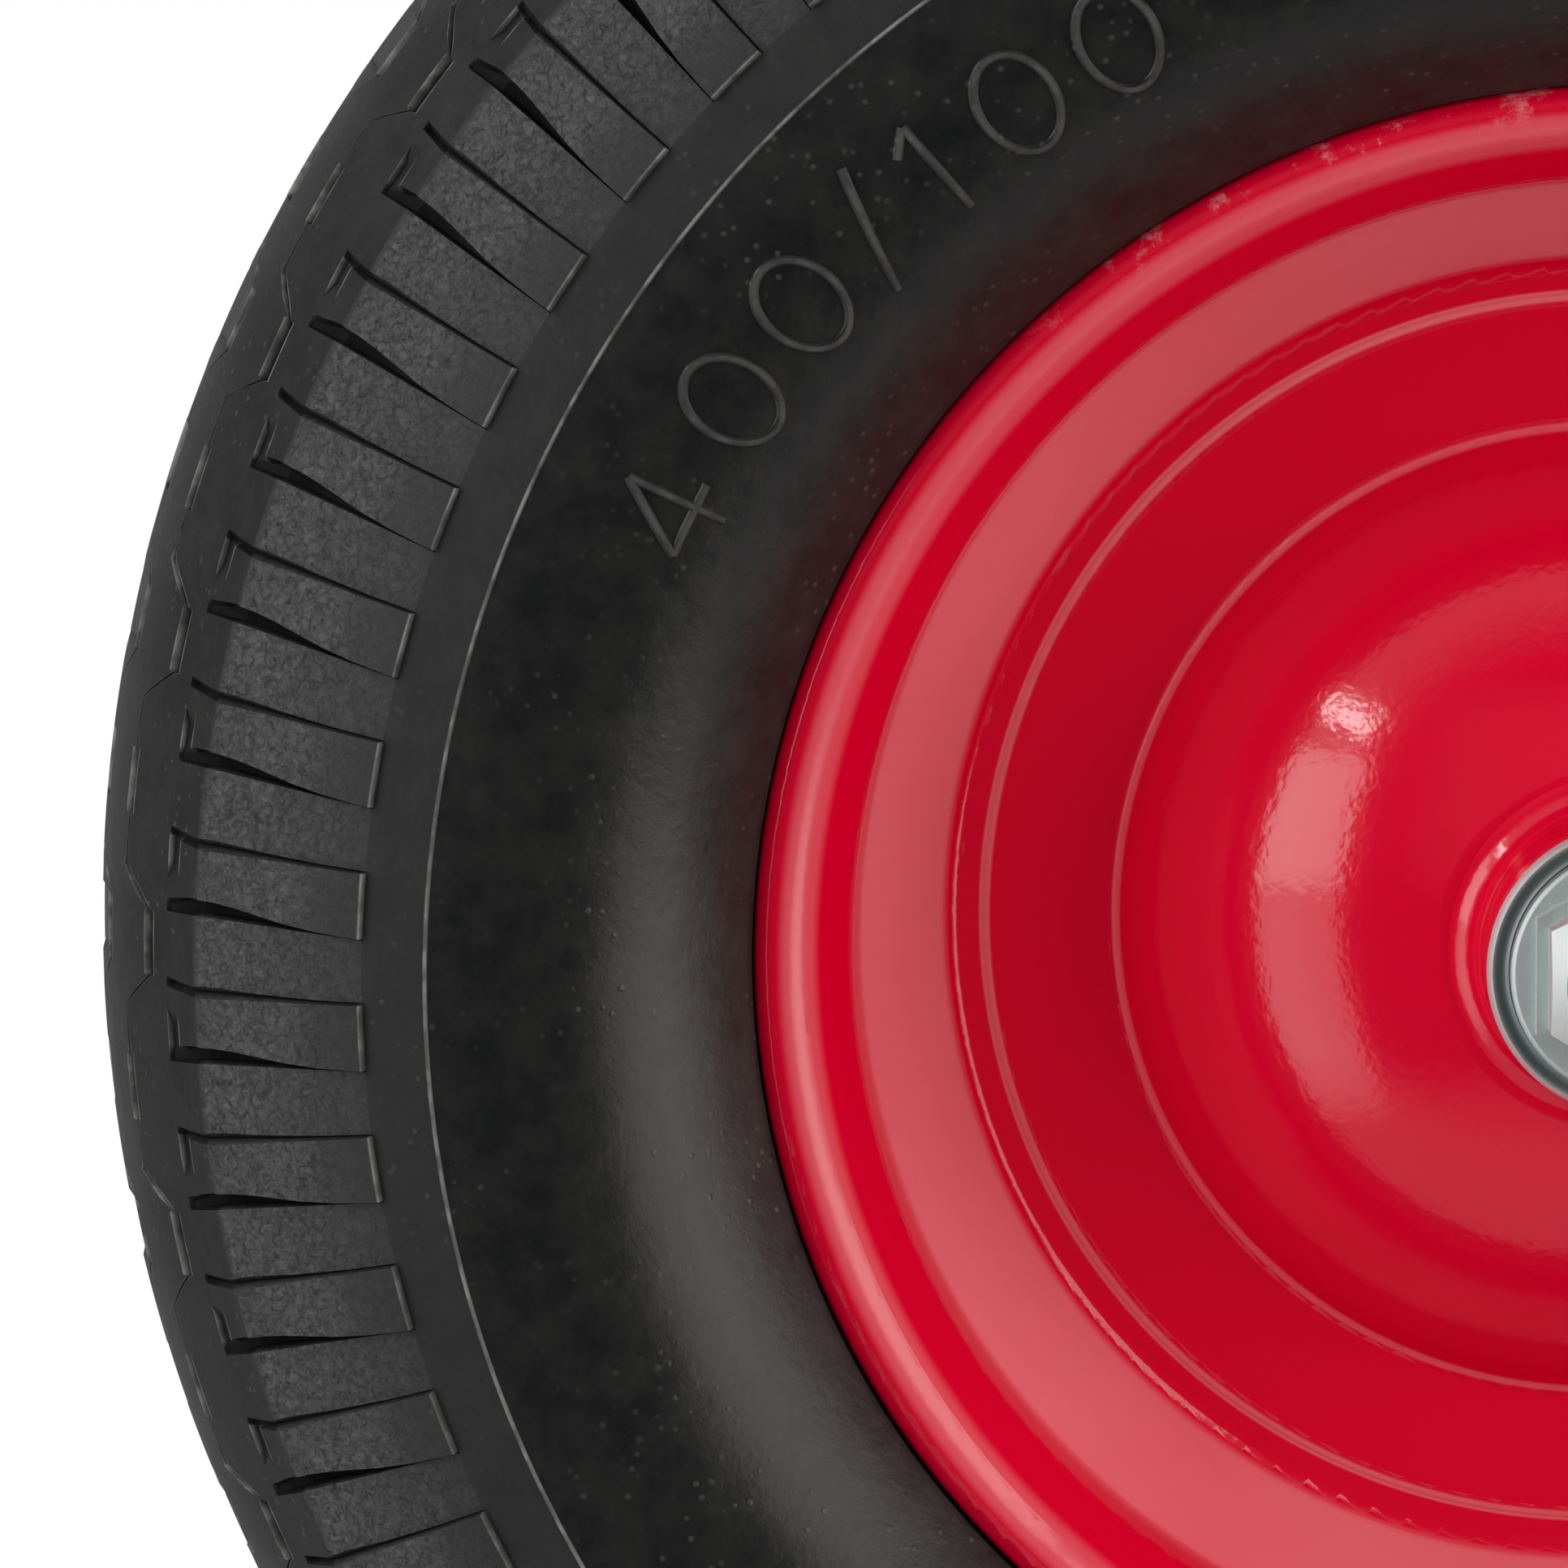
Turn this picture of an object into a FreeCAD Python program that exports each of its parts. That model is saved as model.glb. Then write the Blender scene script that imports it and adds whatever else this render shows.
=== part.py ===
"""Wheelbarrow wheel, 400 mm class, in millimetres.

The axle lies along Y through the origin, which is the centre of the wheel, and +Z is up. The face
that carries the size number looks towards -Y. The wheel is the same on both sides of the plane
y = 0, so every turned or pressed piece is drawn once on the +Y side and the front one is the same
piece turned half a turn about Z.
"""
import FreeCAD, Part
import math
import os

import Sketcher

os.makedirs("parts", exist_ok=True)
doc = FreeCAD.newDocument("barrow_wheel")
sheet = doc.addObject("Spreadsheet::Sheet", "sizes")


class Size:
    """A length with its number and the spreadsheet formula that gives it."""

    def __init__(self, value, text):
        self.value = float(value)
        self.text = text

    @staticmethod
    def of(other):
        return other if isinstance(other, Size) else Size(other, str(other))

    def join(self, other, sign, value):
        return Size(value, "(" + self.text + " " + sign + " " + other.text + ")")

    def __add__(self, other):
        other = Size.of(other)
        return self.join(other, "+", self.value + other.value)

    def __sub__(self, other):
        other = Size.of(other)
        return self.join(other, "-", self.value - other.value)

    def __mul__(self, other):
        other = Size.of(other)
        return self.join(other, "*", self.value * other.value)

    def __truediv__(self, other):
        other = Size.of(other)
        return self.join(other, "/", self.value / other.value)


row = 0


def size(name, value):
    """Writes one driving size to the spreadsheet and returns it."""
    global row
    row = row + 1
    sheet.set("A" + str(row), str(value))
    sheet.setAlias("A" + str(row), name)
    return Size(value, "<<sizes>>." + name)


# Tyre: every radius is a step above the bead seat
seat_radius = size("seat_radius", 102.6)
tyre_rise = size("tyre_rise", 98.9)
tyre_radius = seat_radius + tyre_rise
crown_drop = size("crown_drop", 6.3)
crown_half = size("crown_half", 26.0)
shoulder_drop = size("shoulder_drop", 10.7)
shoulder_half = size("shoulder_half", 35.6)
band_rise = size("band_rise", 66.2)
band_radius = seat_radius + band_rise
band_half = size("band_half", 50.2)
seam_rise = size("seam_rise", 58.1)
seam_radius = seat_radius + seam_rise
seam_half = size("seam_half", 53.4)
belly_rise = size("belly_rise", 44.4)
belly_radius = seat_radius + belly_rise
belly_half = size("belly_half", 55.02)
wall_rise = size("wall_rise", 24.4)
wall_radius = seat_radius + wall_rise
wall_half = size("wall_half", 47.5)
rubber_gap = size("rubber_gap", 0.4)
bead_rise = size("bead_rise", 4.8)

# Tread
tooth_count = 30
lug_width = size("lug_width", 9.0)
lug_rise = size("lug_rise", 1.1)
lug_sink = size("lug_sink", 0.5)
slit_width = size("slit_width", 1.6)
slit_depth = size("slit_depth", 3.0)
pit_length = size("pit_length", 9.0)
pit_width = size("pit_width", 4.0)
groove_width = size("groove_width", 2.4)
groove_depth = size("groove_depth", 3.4)
outer_line = size("outer_line", 24.0)
inner_line = size("inner_line", 16.0)
middle_line = size("middle_line", 9.0)
middle_root = size("middle_root", 1.6)
tread_phase = -5.84

# Rim, two pressed halves, measured from the bead seat too
sheet_wall = size("sheet_wall", 1.8)
flange_rise = size("flange_rise", 13.4)
flange_radius = seat_radius + flange_rise
flange_half = size("flange_half", 37.8)
lip_length = size("lip_length", 4.6)
nose_width = size("nose_width", 5.5)
lip_bend = size("lip_bend", 0.9)
nose_bend = size("nose_bend", 3.2)
seat_bend = size("seat_bend", 2.0)
well_bend = size("well_bend", 3.0)
seat_half = size("seat_half", 27.6)
seat_width = size("seat_width", 7.0)
seat_taper = size("seat_taper", 1.4)
well_drop = size("well_drop", 15.0)
well_radius = seat_radius - well_drop
bead_step = size("bead_step", 0.9)
plate_drop = size("plate_drop", 5.0)
plate_radius = well_radius - plate_drop
dome_drop = size("dome_drop", 16.8)
dome_radius = plate_radius - dome_drop
dome_turn_half = size("dome_turn_half", 27.5)
dome_bend = size("dome_bend", 62.0)
collar_radius = size("collar_radius", 24.5)
dome_turn_share = 0.61
dome_turn_radius = collar_radius + (dome_radius - collar_radius) * dome_turn_share
collar_half = size("collar_half", 35.2)

# Hub tube and its welds
hub_radius = size("hub_radius", 19.3)
hub_bore = size("hub_bore", 17.5)
hub_half = size("hub_half", 53.4)
hub_chamfer = size("hub_chamfer", 0.4)
hub_clear = size("hub_clear", 0.2)
weld_leg = size("weld_leg", 4.0)

# Ball bearings, pressed from sheet with a flanged outer cup
cup_flange_radius = size("cup_flange_radius", 19.7)
cup_flange_wall = size("cup_flange_wall", 1.4)
cup_depth = size("cup_depth", 11.0)
cup_bore = size("cup_bore", 15.5)
cone_radius = size("cone_radius", 12.5)
cone_proud = size("cone_proud", 0.6)
ball_radius = size("ball_radius", 2.38)
ball_circle = size("ball_circle", 14.0)
ball_clear = size("ball_clear", 0.06)
ball_count = 12
cage_inner = size("cage_inner", 13.2)
cage_outer = size("cage_outer", 14.8)
cage_length = size("cage_length", 7.0)
pocket_clear = size("pocket_clear", 0.12)
shield_wall = size("shield_wall", 0.6)
shield_inset = size("shield_inset", 0.5)
shield_clear = size("shield_clear", 0.35)

# Axle
shaft_radius = size("shaft_radius", 10.0)
shaft_clear = size("shaft_clear", 0.03)
shaft_short = size("shaft_short", 1.0)
shaft_chamfer = size("shaft_chamfer", 1.0)
sleeve_radius = size("sleeve_radius", 12.4)
bolt_radius = size("bolt_radius", 6.9)
thread_clear = size("thread_clear", 0.05)
thread_length = size("thread_length", 22.0)
thread_spare = size("thread_spare", 4.0)
washer_radius = size("washer_radius", 16.8)
washer_wall = size("washer_wall", 2.0)
base_flats = size("base_flats", 27.0)
base_rise = size("base_rise", 2.4)
head_flats = size("head_flats", 24.0)
head_rise = size("head_rise", 8.0)
head_bevel = size("head_bevel", 2.6)
dish_radius = size("dish_radius", 8.0)
dish_depth = size("dish_depth", 1.6)

doc.recompute()


def plane(body, role):
    """The origin plane of a body with the given role."""
    for feature in body.Origin.OriginFeatures:
        if feature.Role == role:
            return feature


def new_body(name):
    body = doc.addObject("PartDesign::Body", name)
    body.Label = name
    return body


def pin_point(sketch, geometry, point, corner):
    """Holds one end of a line or arc at a corner, by two formulas."""
    for kind, length in (("DistanceX", corner[0]), ("DistanceY", corner[1])):
        number = sketch.addConstraint(Sketcher.Constraint(kind, -1, 1, geometry, point, length.value))
        sketch.setExpression("Constraints[" + str(number) + "]", length.text)


def arc_between(start, end, radius, side):
    """An arc from start to end that bulges to the left (side 1) or right (side -1) of the way there."""
    chord_x = end[0] - start[0]
    chord_y = end[1] - start[1]
    chord = math.hypot(chord_x, chord_y)
    sink = math.sqrt(radius ** 2 - chord ** 2 / 4) * side
    centre_x = (start[0] + end[0]) / 2 + chord_y / chord * sink
    centre_y = (start[1] + end[1]) / 2 - chord_x / chord * sink
    circle = Part.Circle(FreeCAD.Vector(centre_x, centre_y, 0), FreeCAD.Vector(0, 0, 1), radius)
    at_start = math.atan2(start[1] - centre_y, start[0] - centre_x)
    at_end = math.atan2(end[1] - centre_y, end[0] - centre_x)
    if side > 0:
        return Part.ArcOfCircle(circle, at_end, at_start)
    return Part.ArcOfCircle(circle, at_start, at_end)


def outline(sketch, corners, arcs=None):
    """Closes a loop through the corners; arcs gives (radius, side) to the side that leaves a corner."""
    arcs = arcs or {}
    count = len(corners)
    place = [(corner[0].value, corner[1].value) for corner in corners]
    for index in range(count):
        after = (index + 1) % count
        if index in arcs:
            radius, side = arcs[index]
            arc = sketch.addGeometry(arc_between(place[index], place[after], radius.value, side), False)
            pin_point(sketch, arc, 2 if side > 0 else 1, corners[index])
            pin_point(sketch, arc, 1 if side > 0 else 2, corners[after])
        else:
            start = FreeCAD.Vector(place[index][0], place[index][1], 0)
            end = FreeCAD.Vector(place[after][0], place[after][1], 0)
            line = sketch.addGeometry(Part.LineSegment(start, end), False)
            pin_point(sketch, line, 1, corners[index])
            pin_point(sketch, line, 2, corners[after])
            continue
        number = sketch.addConstraint(Sketcher.Constraint("Radius", arc, radius.value))
        sketch.setExpression("Constraints[" + str(number) + "]", radius.text)


def new_sketch(body, name, role):
    sketch = body.newObject("Sketcher::SketchObject", name)
    sketch.AttachmentSupport = (plane(body, role), [""])
    sketch.MapMode = "FlatFace"
    return sketch


def turned(name, corners, arcs=None):
    """A body turned about Y from corners given as (radius, y)."""
    body = new_body(name)
    sketch = new_sketch(body, name + "_profile", "XY_Plane")
    outline(sketch, corners, arcs)
    spin = body.newObject("PartDesign::Revolution", name + "_turned")
    spin.Profile = sketch
    spin.ReferenceAxis = (sketch, ["V_Axis"])
    spin.Angle = 360
    sketch.Visibility = False
    doc.recompute()
    return body


def pattern(body, features, count, name):
    """Copies features about the axle."""
    ring = body.newObject("PartDesign::PolarPattern", name)
    ring.Originals = features
    ring.Axis = (plane(body, "Y_Axis"), [""])
    ring.Angle = 360
    ring.Occurrences = count
    body.Tip = ring
    doc.recompute()
    return ring


half_turn = FreeCAD.Placement(FreeCAD.Vector(0, 0, 0), FreeCAD.Rotation(FreeCAD.Vector(0, 0, 1), 180))
subparts = []


def keep(name, shape_object, front=False):
    """Gives a finished piece its name and place, and lists it for export."""
    shape_object.Label = name
    if front:
        shape_object.Placement = half_turn
    subparts.append(shape_object)


# Tyre: one foam moulding, turned, then given its lugs, slits and grooves
crown_corner = tyre_radius - crown_drop
shoulder_radius = tyre_radius - shoulder_drop
bead_radius = seat_radius + sheet_wall + rubber_gap
lip_gap_radius = flange_radius + rubber_gap
lip_end = flange_half - lip_length
bead_half = lip_end - rubber_gap

half_outline = [
    (shoulder_radius, shoulder_half),
    (shoulder_radius - lug_rise, shoulder_half + lug_rise * 0.6),
    (band_radius, band_half),
    (seam_radius, seam_half),
    (belly_radius, belly_half),
    (wall_radius, wall_half),
    (lip_gap_radius + 1.2, flange_half + 1.2),
    (lip_gap_radius, bead_half),
    (bead_radius + bead_rise, bead_half),
    (bead_radius, seat_half - sheet_wall),
    (bead_radius - seat_taper, seat_half - seat_width - rubber_gap),
]
mirror_outline = [(radius, half * -1) for radius, half in reversed(half_outline)]
tyre_outline = [(crown_corner, crown_half)] + half_outline + mirror_outline + [(crown_corner, crown_half * -1)]
tread_turn = 360.0 / tooth_count
axis_start = FreeCAD.Vector(0, 0, 0)
axis_way = FreeCAD.Vector(0, 1, 0)


def turned_copy(shape, angle):
    copy = shape.copy()
    copy.rotate(axis_start, axis_way, angle)
    return copy


def carcass_slice():
    """The smooth tyre over one tooth of the tread, with the tooth's tip at the top of the wheel."""
    points = [FreeCAD.Vector(0, half.value, radius.value) for radius, half in tyre_outline]
    crown = Part.Arc(points[-1], FreeCAD.Vector(0, 0, tyre_radius.value), points[0]).toShape()
    belly = half_outline.index((belly_radius, belly_half)) + 1
    bellies = [belly, len(points) - 1 - belly]
    sides = [Part.Arc(points[i - 1], points[i], points[i + 1]).toShape() for i in bellies]
    for i in range(len(points) - 1):
        if i not in bellies and i + 1 not in bellies:
            sides.append(Part.makeLine(points[i], points[i + 1]))
    loop = Part.Wire(Part.__sortEdges__(sides + [crown]))
    face = turned_copy(Part.Face(loop), -tread_turn / 2)
    return face.revolve(axis_start, axis_way, tread_turn)


def prism(corners, way):
    """A straight solid on a flat outline, given as points in space."""
    points = [FreeCAD.Vector(*corner) for corner in corners]
    return Part.Face(Part.makePolygon(points + points[:1])).extrude(FreeCAD.Vector(*way))


def mirrored(points):
    """Points and their copies across the middle of the tread."""
    return [points, [(x, y * -1, z) for x, y, z in points]]


def bars(corners, left, width):
    """Bars beside both lugs of a tooth, on both shoulders: corners are (y, z)."""
    made = []
    for points in mirrored([(left, half.value, radius.value) for half, radius in corners]):
        bar = prism(points, (width, 0, 0))
        made = made + [turned_copy(bar, tread_turn / 4), turned_copy(bar, tread_turn / -4)]
    return made


# A lug is a bar of constant width that lies on each shoulder, from the band to the crown
root = 2.0
lug_profile = [
    (shoulder_half - root, shoulder_radius - root),
    (shoulder_half, shoulder_radius - lug_sink),
    (band_half + lug_rise * 0.7, band_radius + lug_rise * 0.5),
    (band_half - root, band_radius - root * 0.4),
]
lugs = bars(lug_profile, lug_width.value * -0.5, lug_width.value)

# A slit runs along one flank of every lug and deepens towards the crown
slit_start_radius = band_radius + (shoulder_radius - band_radius) * 0.2
slit_start_half = band_half + (shoulder_half - band_half) * 0.2
slit_end_half = outer_line + pit_width * 1.2
slit_profile = [
    (slit_end_half, shoulder_radius - slit_depth * 0.3),
    (slit_end_half, tyre_radius + 1),
    (slit_start_half + 3, tyre_radius + 1),
    (slit_start_half, slit_start_radius),
    (shoulder_half, shoulder_radius - slit_depth),
]
slits = bars(slit_profile, lug_width.value * -0.5 - slit_width.value, slit_width.value)

# Zigzag grooves round the crown: a pit at each tooth's tip, two slanting arms and a pit between teeth
half_pitch = tyre_radius.value * math.pi / tooth_count
pit_tip = pit_length.value / 2
pit_half = pit_width.value / 2


def zigzag(tip_line, root_line):
    """One tooth of a zigzag groove, from pit to pit, as (along the tread, across the tread)."""
    arm = pit_tip + (tip_line - root_line) * 0.7
    end = half_pitch - pit_tip + 0.3
    thin = groove_width.value / 4
    right = [
        (pit_tip, tip_line + pit_half),
        (arm, root_line + thin),
        (end, root_line + thin),
        (end, root_line - thin),
        (arm - groove_width.value / 2, root_line - thin),
        (pit_tip - thin, tip_line - pit_half),
    ]
    return right + [(along * -1, across) for along, across in reversed(right)]


def pit(line):
    """The box-shaped pit between two teeth."""
    return [(-pit_tip, line - pit_half), (pit_tip, line - pit_half),
            (pit_tip, line + pit_half), (-pit_tip, line + pit_half)]


def notch(side):
    """A slanting notch in the rib beside the outer teeth."""
    near = (lug_width.value / 2 + 5.9) * side
    far = (lug_width.value / 2 + 11.0) * side
    half = slit_width.value * 0.7
    low = slit_end_half.value
    high = shoulder_half.value - 2.2
    return [(near - half, low), (near + half, low), (far + half, high), (far - half, high)]


def tread_cut(loop, sink, turns):
    """Cuts of one outline in both halves of the tread, down to a depth under the crown."""
    floor = (tyre_radius - sink).value
    cuts = []
    for points in mirrored([(along, across, floor) for along, across in loop]):
        cuts = cuts + [turned_copy(prism(points, (0, 0, sink.value + 2)), turn) for turn in turns]
    return cuts


def middle_cut(loop, sink, turns):
    """The same for an outline that lies across the middle of the tread."""
    floor = (tyre_radius - sink).value
    points = [(along, across, floor) for along, across in loop]
    return [turned_copy(prism(points, (0, 0, sink.value + 2)), turn) for turn in turns]


between = [tread_turn / 2, tread_turn / -2]
grooves = (
    tread_cut(zigzag(outer_line.value, inner_line.value), groove_depth + 4.5, [0])
    + tread_cut(pit(inner_line.value), groove_depth + 2.3, between)
    + tread_cut(zigzag(middle_line.value, middle_root.value), groove_depth + 0.4, [0])
    + middle_cut(pit(0.0), groove_depth, between)
    + tread_cut(notch(1), shoulder_drop + 1.5, [0])
    + tread_cut(notch(-1), shoulder_drop + 1.5, [0])
)


def tyre_shape():
    """One slice of tyre with its tread, copied round the axle and sewn into one solid."""
    piece = carcass_slice().fuse(lugs)
    for cutter in slits + grooves:
        before = piece.Volume
        piece = piece.cut(cutter)
        if piece.Volume >= before:
            raise ValueError("a tread cut removed nothing")
    normal = FreeCAD.Vector(0, 0, 1).cross(axis_way)
    walls = [FreeCAD.Rotation(axis_way, turn).multVec(normal) for turn in between]
    skin = []
    for face in piece.Faces:
        if not any(abs(face.CenterOfMass.dot(wall)) < 1e-4 and face.Surface.TypeId == "Part::GeomPlane"
                   for wall in walls):
            skin.append(face)
    ring = [turned_copy(face, tread_phase + index * tread_turn) for index in range(tooth_count) for face in skin]
    shell = Part.makeCompound(ring)
    shell.sewShape()
    solid = Part.Solid(shell.Shells[0])
    print("tyre slice", round(piece.Volume * tooth_count), "solid", round(solid.Volume), len(shell.Shells))
    return solid


tyre = doc.addObject("Part::Feature", "tyre")
tyre.Shape = tyre_shape()
keep("tyre", tyre)


# Rim: two alike halves pressed from sheet, which meet at the plane y = 0
def sheet_section(corners, wall):
    """The outline of bent sheet: corners are (radius, y, inner bend) of its open face, from the lip.

    A bend that two short sides leave no room for is made as large as they allow.
    """
    corners = [[Size.of(part).value for part in corner] for corner in corners]
    count = len(corners)
    face = [FreeCAD.Vector(corner[0], corner[1], 0) for corner in corners]
    along = [(face[i + 1] - face[i]).normalize() for i in range(count - 1)]
    across = [FreeCAD.Vector(-way.y, way.x, 0) for way in along]
    back = []
    for i in range(count):
        first = across[max(i - 1, 0)]
        middle = (first + across[min(i, count - 2)]).normalize()
        back.append(face[i] + middle * (wall / middle.dot(first)))
    bends = [0] * count
    for i in range(1, count - 1):
        side = min((face[i] - face[i - 1]).Length, (face[i + 1] - face[i]).Length)
        room = side * 0.88 / math.tan(along[i - 1].getAngle(along[i]) / 2)
        bends[i] = min(corners[i][2], max(room - wall, wall))
    edges = []
    for line, is_face in ((face, True), (back, False)):
        here = line[0]
        for i in range(1, count - 1):
            turn = along[i - 1].x * along[i].y - along[i - 1].y * along[i].x
            outer = (turn > 0) == is_face
            bend = bends[i] + (wall if outer else 0)
            angle = along[i - 1].getAngle(along[i])
            reach = bend * math.tan(angle / 2)
            start = line[i] - along[i - 1] * reach
            end = line[i] + along[i] * reach
            inwards = (along[i] - along[i - 1]).normalize()
            top = line[i] + inwards * (bend / math.cos(angle / 2) - bend)
            edges.append(Part.makeLine(here, start))
            edges.append(Part.Arc(start, top, end).toShape())
            here = end
        edges.append(Part.makeLine(here, line[-1]))
    edges.append(Part.makeLine(face[0], back[0]))
    edges.append(Part.makeLine(face[-1], back[-1]))
    return Part.Wire(Part.__sortEdges__(edges))


def rim_half(name, front):
    """One pressed half: rolled lip, bead seat, well, joint ring, plate, dome and hub collar."""
    plate = sheet_wall + bead_step
    corners = [
        (flange_radius, flange_half - lip_length, 0),
        (flange_radius, flange_half, lip_bend),
        (flange_radius - nose_width, flange_half, nose_bend),
        (seat_radius, seat_half, seat_bend),
        (seat_radius - seat_taper, seat_half - seat_width, seat_bend),
        (well_radius, sheet_wall, well_bend),
        (plate_radius + bead_step * 1.2, sheet_wall, bead_step * 0.5),
        (plate_radius, plate, bead_step * 0.5),
        (dome_radius, plate, sheet_wall),
        (dome_turn_radius, dome_turn_half, dome_bend),
        (collar_radius, collar_half, sheet_wall),
        (hub_radius + hub_clear, collar_half, 0),
    ]
    face = Part.Face(sheet_section(corners, sheet_wall.value))
    half = doc.addObject("Part::Feature", name)
    half.Shape = face.revolve(FreeCAD.Vector(0, 0, 0), FreeCAD.Vector(0, 1, 0), 360)
    keep(name, half, front)


# Hub tube, and the weld that joins it to each collar
zero = tyre_radius * 0
hub = turned("hub_tube", [
    (hub_bore, hub_half - hub_chamfer),
    (hub_bore + hub_chamfer, hub_half),
    (hub_radius - hub_chamfer, hub_half),
    (hub_radius, hub_half - hub_chamfer),
    (hub_radius, hub_half * -1 + hub_chamfer),
    (hub_radius - hub_chamfer, hub_half * -1),
    (hub_bore + hub_chamfer, hub_half * -1),
    (hub_bore, hub_half * -1 + hub_chamfer),
])
keep("hub_tube", hub)


def hub_weld(name, front):
    """A fillet weld with a hollow face, between the tube and the collar."""
    weld = turned(name, [
        (hub_radius, collar_half),
        (hub_radius + weld_leg, collar_half),
        (hub_radius, collar_half + weld_leg),
    ], {1: (weld_leg * 1.6, 1)})
    keep(name, weld, front)


def bearing_cup(name, front):
    """The outer race: a pressed shell in the tube's end, with a rounded flange and a ball track."""
    bottom = hub_half - cup_depth
    top = hub_half + cup_flange_wall
    cup = turned(name, [
        (cup_bore, bottom),
        (hub_bore, bottom),
        (hub_bore, hub_half),
        (cup_flange_radius, hub_half),
        (cup_flange_radius - cup_flange_wall * 0.5, top),
        (cup_bore + cup_flange_wall, top),
        (cup_bore, top - cup_flange_wall),
    ])
    track(cup, name)
    keep(name, cup, front)


def track(body, name):
    """Cuts the round ball track into a race."""
    middle = hub_half - cup_depth * 0.5
    sketch = new_sketch(body, name + "_track", "XY_Plane")
    ring = Part.Circle(FreeCAD.Vector(ball_circle.value, middle.value, 0), FreeCAD.Vector(0, 0, 1),
                       (ball_radius + ball_clear).value)
    circle = sketch.addGeometry(ring, False)
    pin_point(sketch, circle, 3, (ball_circle, middle))
    held = sketch.addConstraint(Sketcher.Constraint("Radius", circle, (ball_radius + ball_clear).value))
    sketch.setExpression("Constraints[" + str(held) + "]", (ball_radius + ball_clear).text)
    before = body.Tip.Shape.Volume
    groove = body.newObject("PartDesign::Groove", name + "_groove")
    groove.Profile = sketch
    groove.ReferenceAxis = (sketch, ["V_Axis"])
    groove.Angle = 360
    sketch.Visibility = False
    doc.recompute()
    if groove.Shape.Volume >= before:
        raise RuntimeError(name + " has no ball track")


def bearing_cone(name, front):
    """The inner race, which stands a little proud of the cup."""
    bottom = hub_half - cup_depth
    top = hub_half + cup_flange_wall + cone_proud
    bore = shaft_radius + shaft_clear
    cone = turned(name, [
        (bore, bottom),
        (cone_radius, bottom),
        (cone_radius, top),
        (bore, top),
    ])
    track(cone, name)
    keep(name, cone, front)


def ball_cage(name, front):
    """A ring with one round pocket for each ball."""
    middle = hub_half - cup_depth * 0.5
    cage = turned(name, [
        (cage_inner, middle - cage_length * 0.5),
        (cage_outer, middle - cage_length * 0.5),
        (cage_outer, middle + cage_length * 0.5),
        (cage_inner, middle + cage_length * 0.5),
    ])
    sketch = new_sketch(cage, name + "_pocket", "XY_Plane")
    hole = ball_radius + pocket_clear
    circle = sketch.addGeometry(
        Part.Circle(FreeCAD.Vector(0, middle.value, 0), FreeCAD.Vector(0, 0, 1), hole.value), False)
    pin_point(sketch, circle, 3, (zero, middle))
    held = sketch.addConstraint(Sketcher.Constraint("Radius", circle, hole.value))
    sketch.setExpression("Constraints[" + str(held) + "]", hole.text)
    before = cage.Tip.Shape.Volume
    pocket = cage.newObject("PartDesign::Pocket", name + "_cut")
    pocket.Profile = sketch
    pocket.Reversed = True
    pocket.setExpression("Length", (cage_outer + 1).text)
    doc.recompute()
    if pocket.Shape.Volume >= before:
        raise RuntimeError(name + " has no pocket")
    pattern(cage, [pocket], ball_count, name + "_pockets")
    keep(name, cage, front)


def balls(name, front):
    """The balls of one bearing, as separate solids round the axle."""
    middle = hub_half - cup_depth * 0.5
    ring = []
    for index in range(ball_count):
        angle = 2 * math.pi * index / ball_count
        ball = doc.addObject("Part::Sphere", name + "_" + str(index))
        ball.setExpression("Radius", ball_radius.text)
        ball.setExpression("Placement.Base.x", (ball_circle * math.sin(angle)).text)
        ball.setExpression("Placement.Base.y", middle.text)
        ball.setExpression("Placement.Base.z", (ball_circle * math.cos(angle)).text)
        ring.append(ball)
    group = doc.addObject("Part::Compound", name)
    group.Links = ring
    keep(name, group, front)


def bearing_shield(name, front):
    """A thin steel ring pressed into the cup, just inside its mouth."""
    top = hub_half - shield_inset
    shield = turned(name, [
        (cone_radius + shield_clear, top - shield_wall),
        (cup_bore, top - shield_wall),
        (cup_bore, top),
        (cone_radius + shield_clear, top),
    ])
    keep(name, shield, front)


# Axle: a tapped shaft, a sleeve between the inner races and a flanged bolt in each end
stack_end = hub_half + cup_flange_wall + cone_proud
shaft_end = stack_end - shaft_short
tap_bore = bolt_radius + thread_clear
tap_depth = thread_length + thread_spare
tip_half = shaft_end - tap_depth
shaft = turned("axle_shaft", [
    (zero, tip_half),
    (tap_bore, tip_half),
    (tap_bore, shaft_end),
    (shaft_radius - shaft_chamfer, shaft_end),
    (shaft_radius, shaft_end - shaft_chamfer),
    (shaft_radius, shaft_end * -1 + shaft_chamfer),
    (shaft_radius - shaft_chamfer, shaft_end * -1),
    (tap_bore, shaft_end * -1),
    (tap_bore, tip_half * -1),
    (zero, tip_half * -1),
])
keep("axle_shaft", shaft)

sleeve_half = hub_half - cup_depth
sleeve = turned("spacer_sleeve", [
    (shaft_radius + shaft_clear, sleeve_half),
    (sleeve_radius, sleeve_half),
    (sleeve_radius, sleeve_half * -1),
    (shaft_radius + shaft_clear, sleeve_half * -1),
])
keep("spacer_sleeve", sleeve)


def hexagon(sketch, flats):
    """A regular hexagon about the origin, with two corners up and down."""
    corner = flats / math.sqrt(3)
    corners = []
    for index in range(6):
        angle = math.radians(90 + 60 * index)
        corners.append((corner * math.cos(angle), corner * math.sin(angle)))
    outline(sketch, corners)


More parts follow.
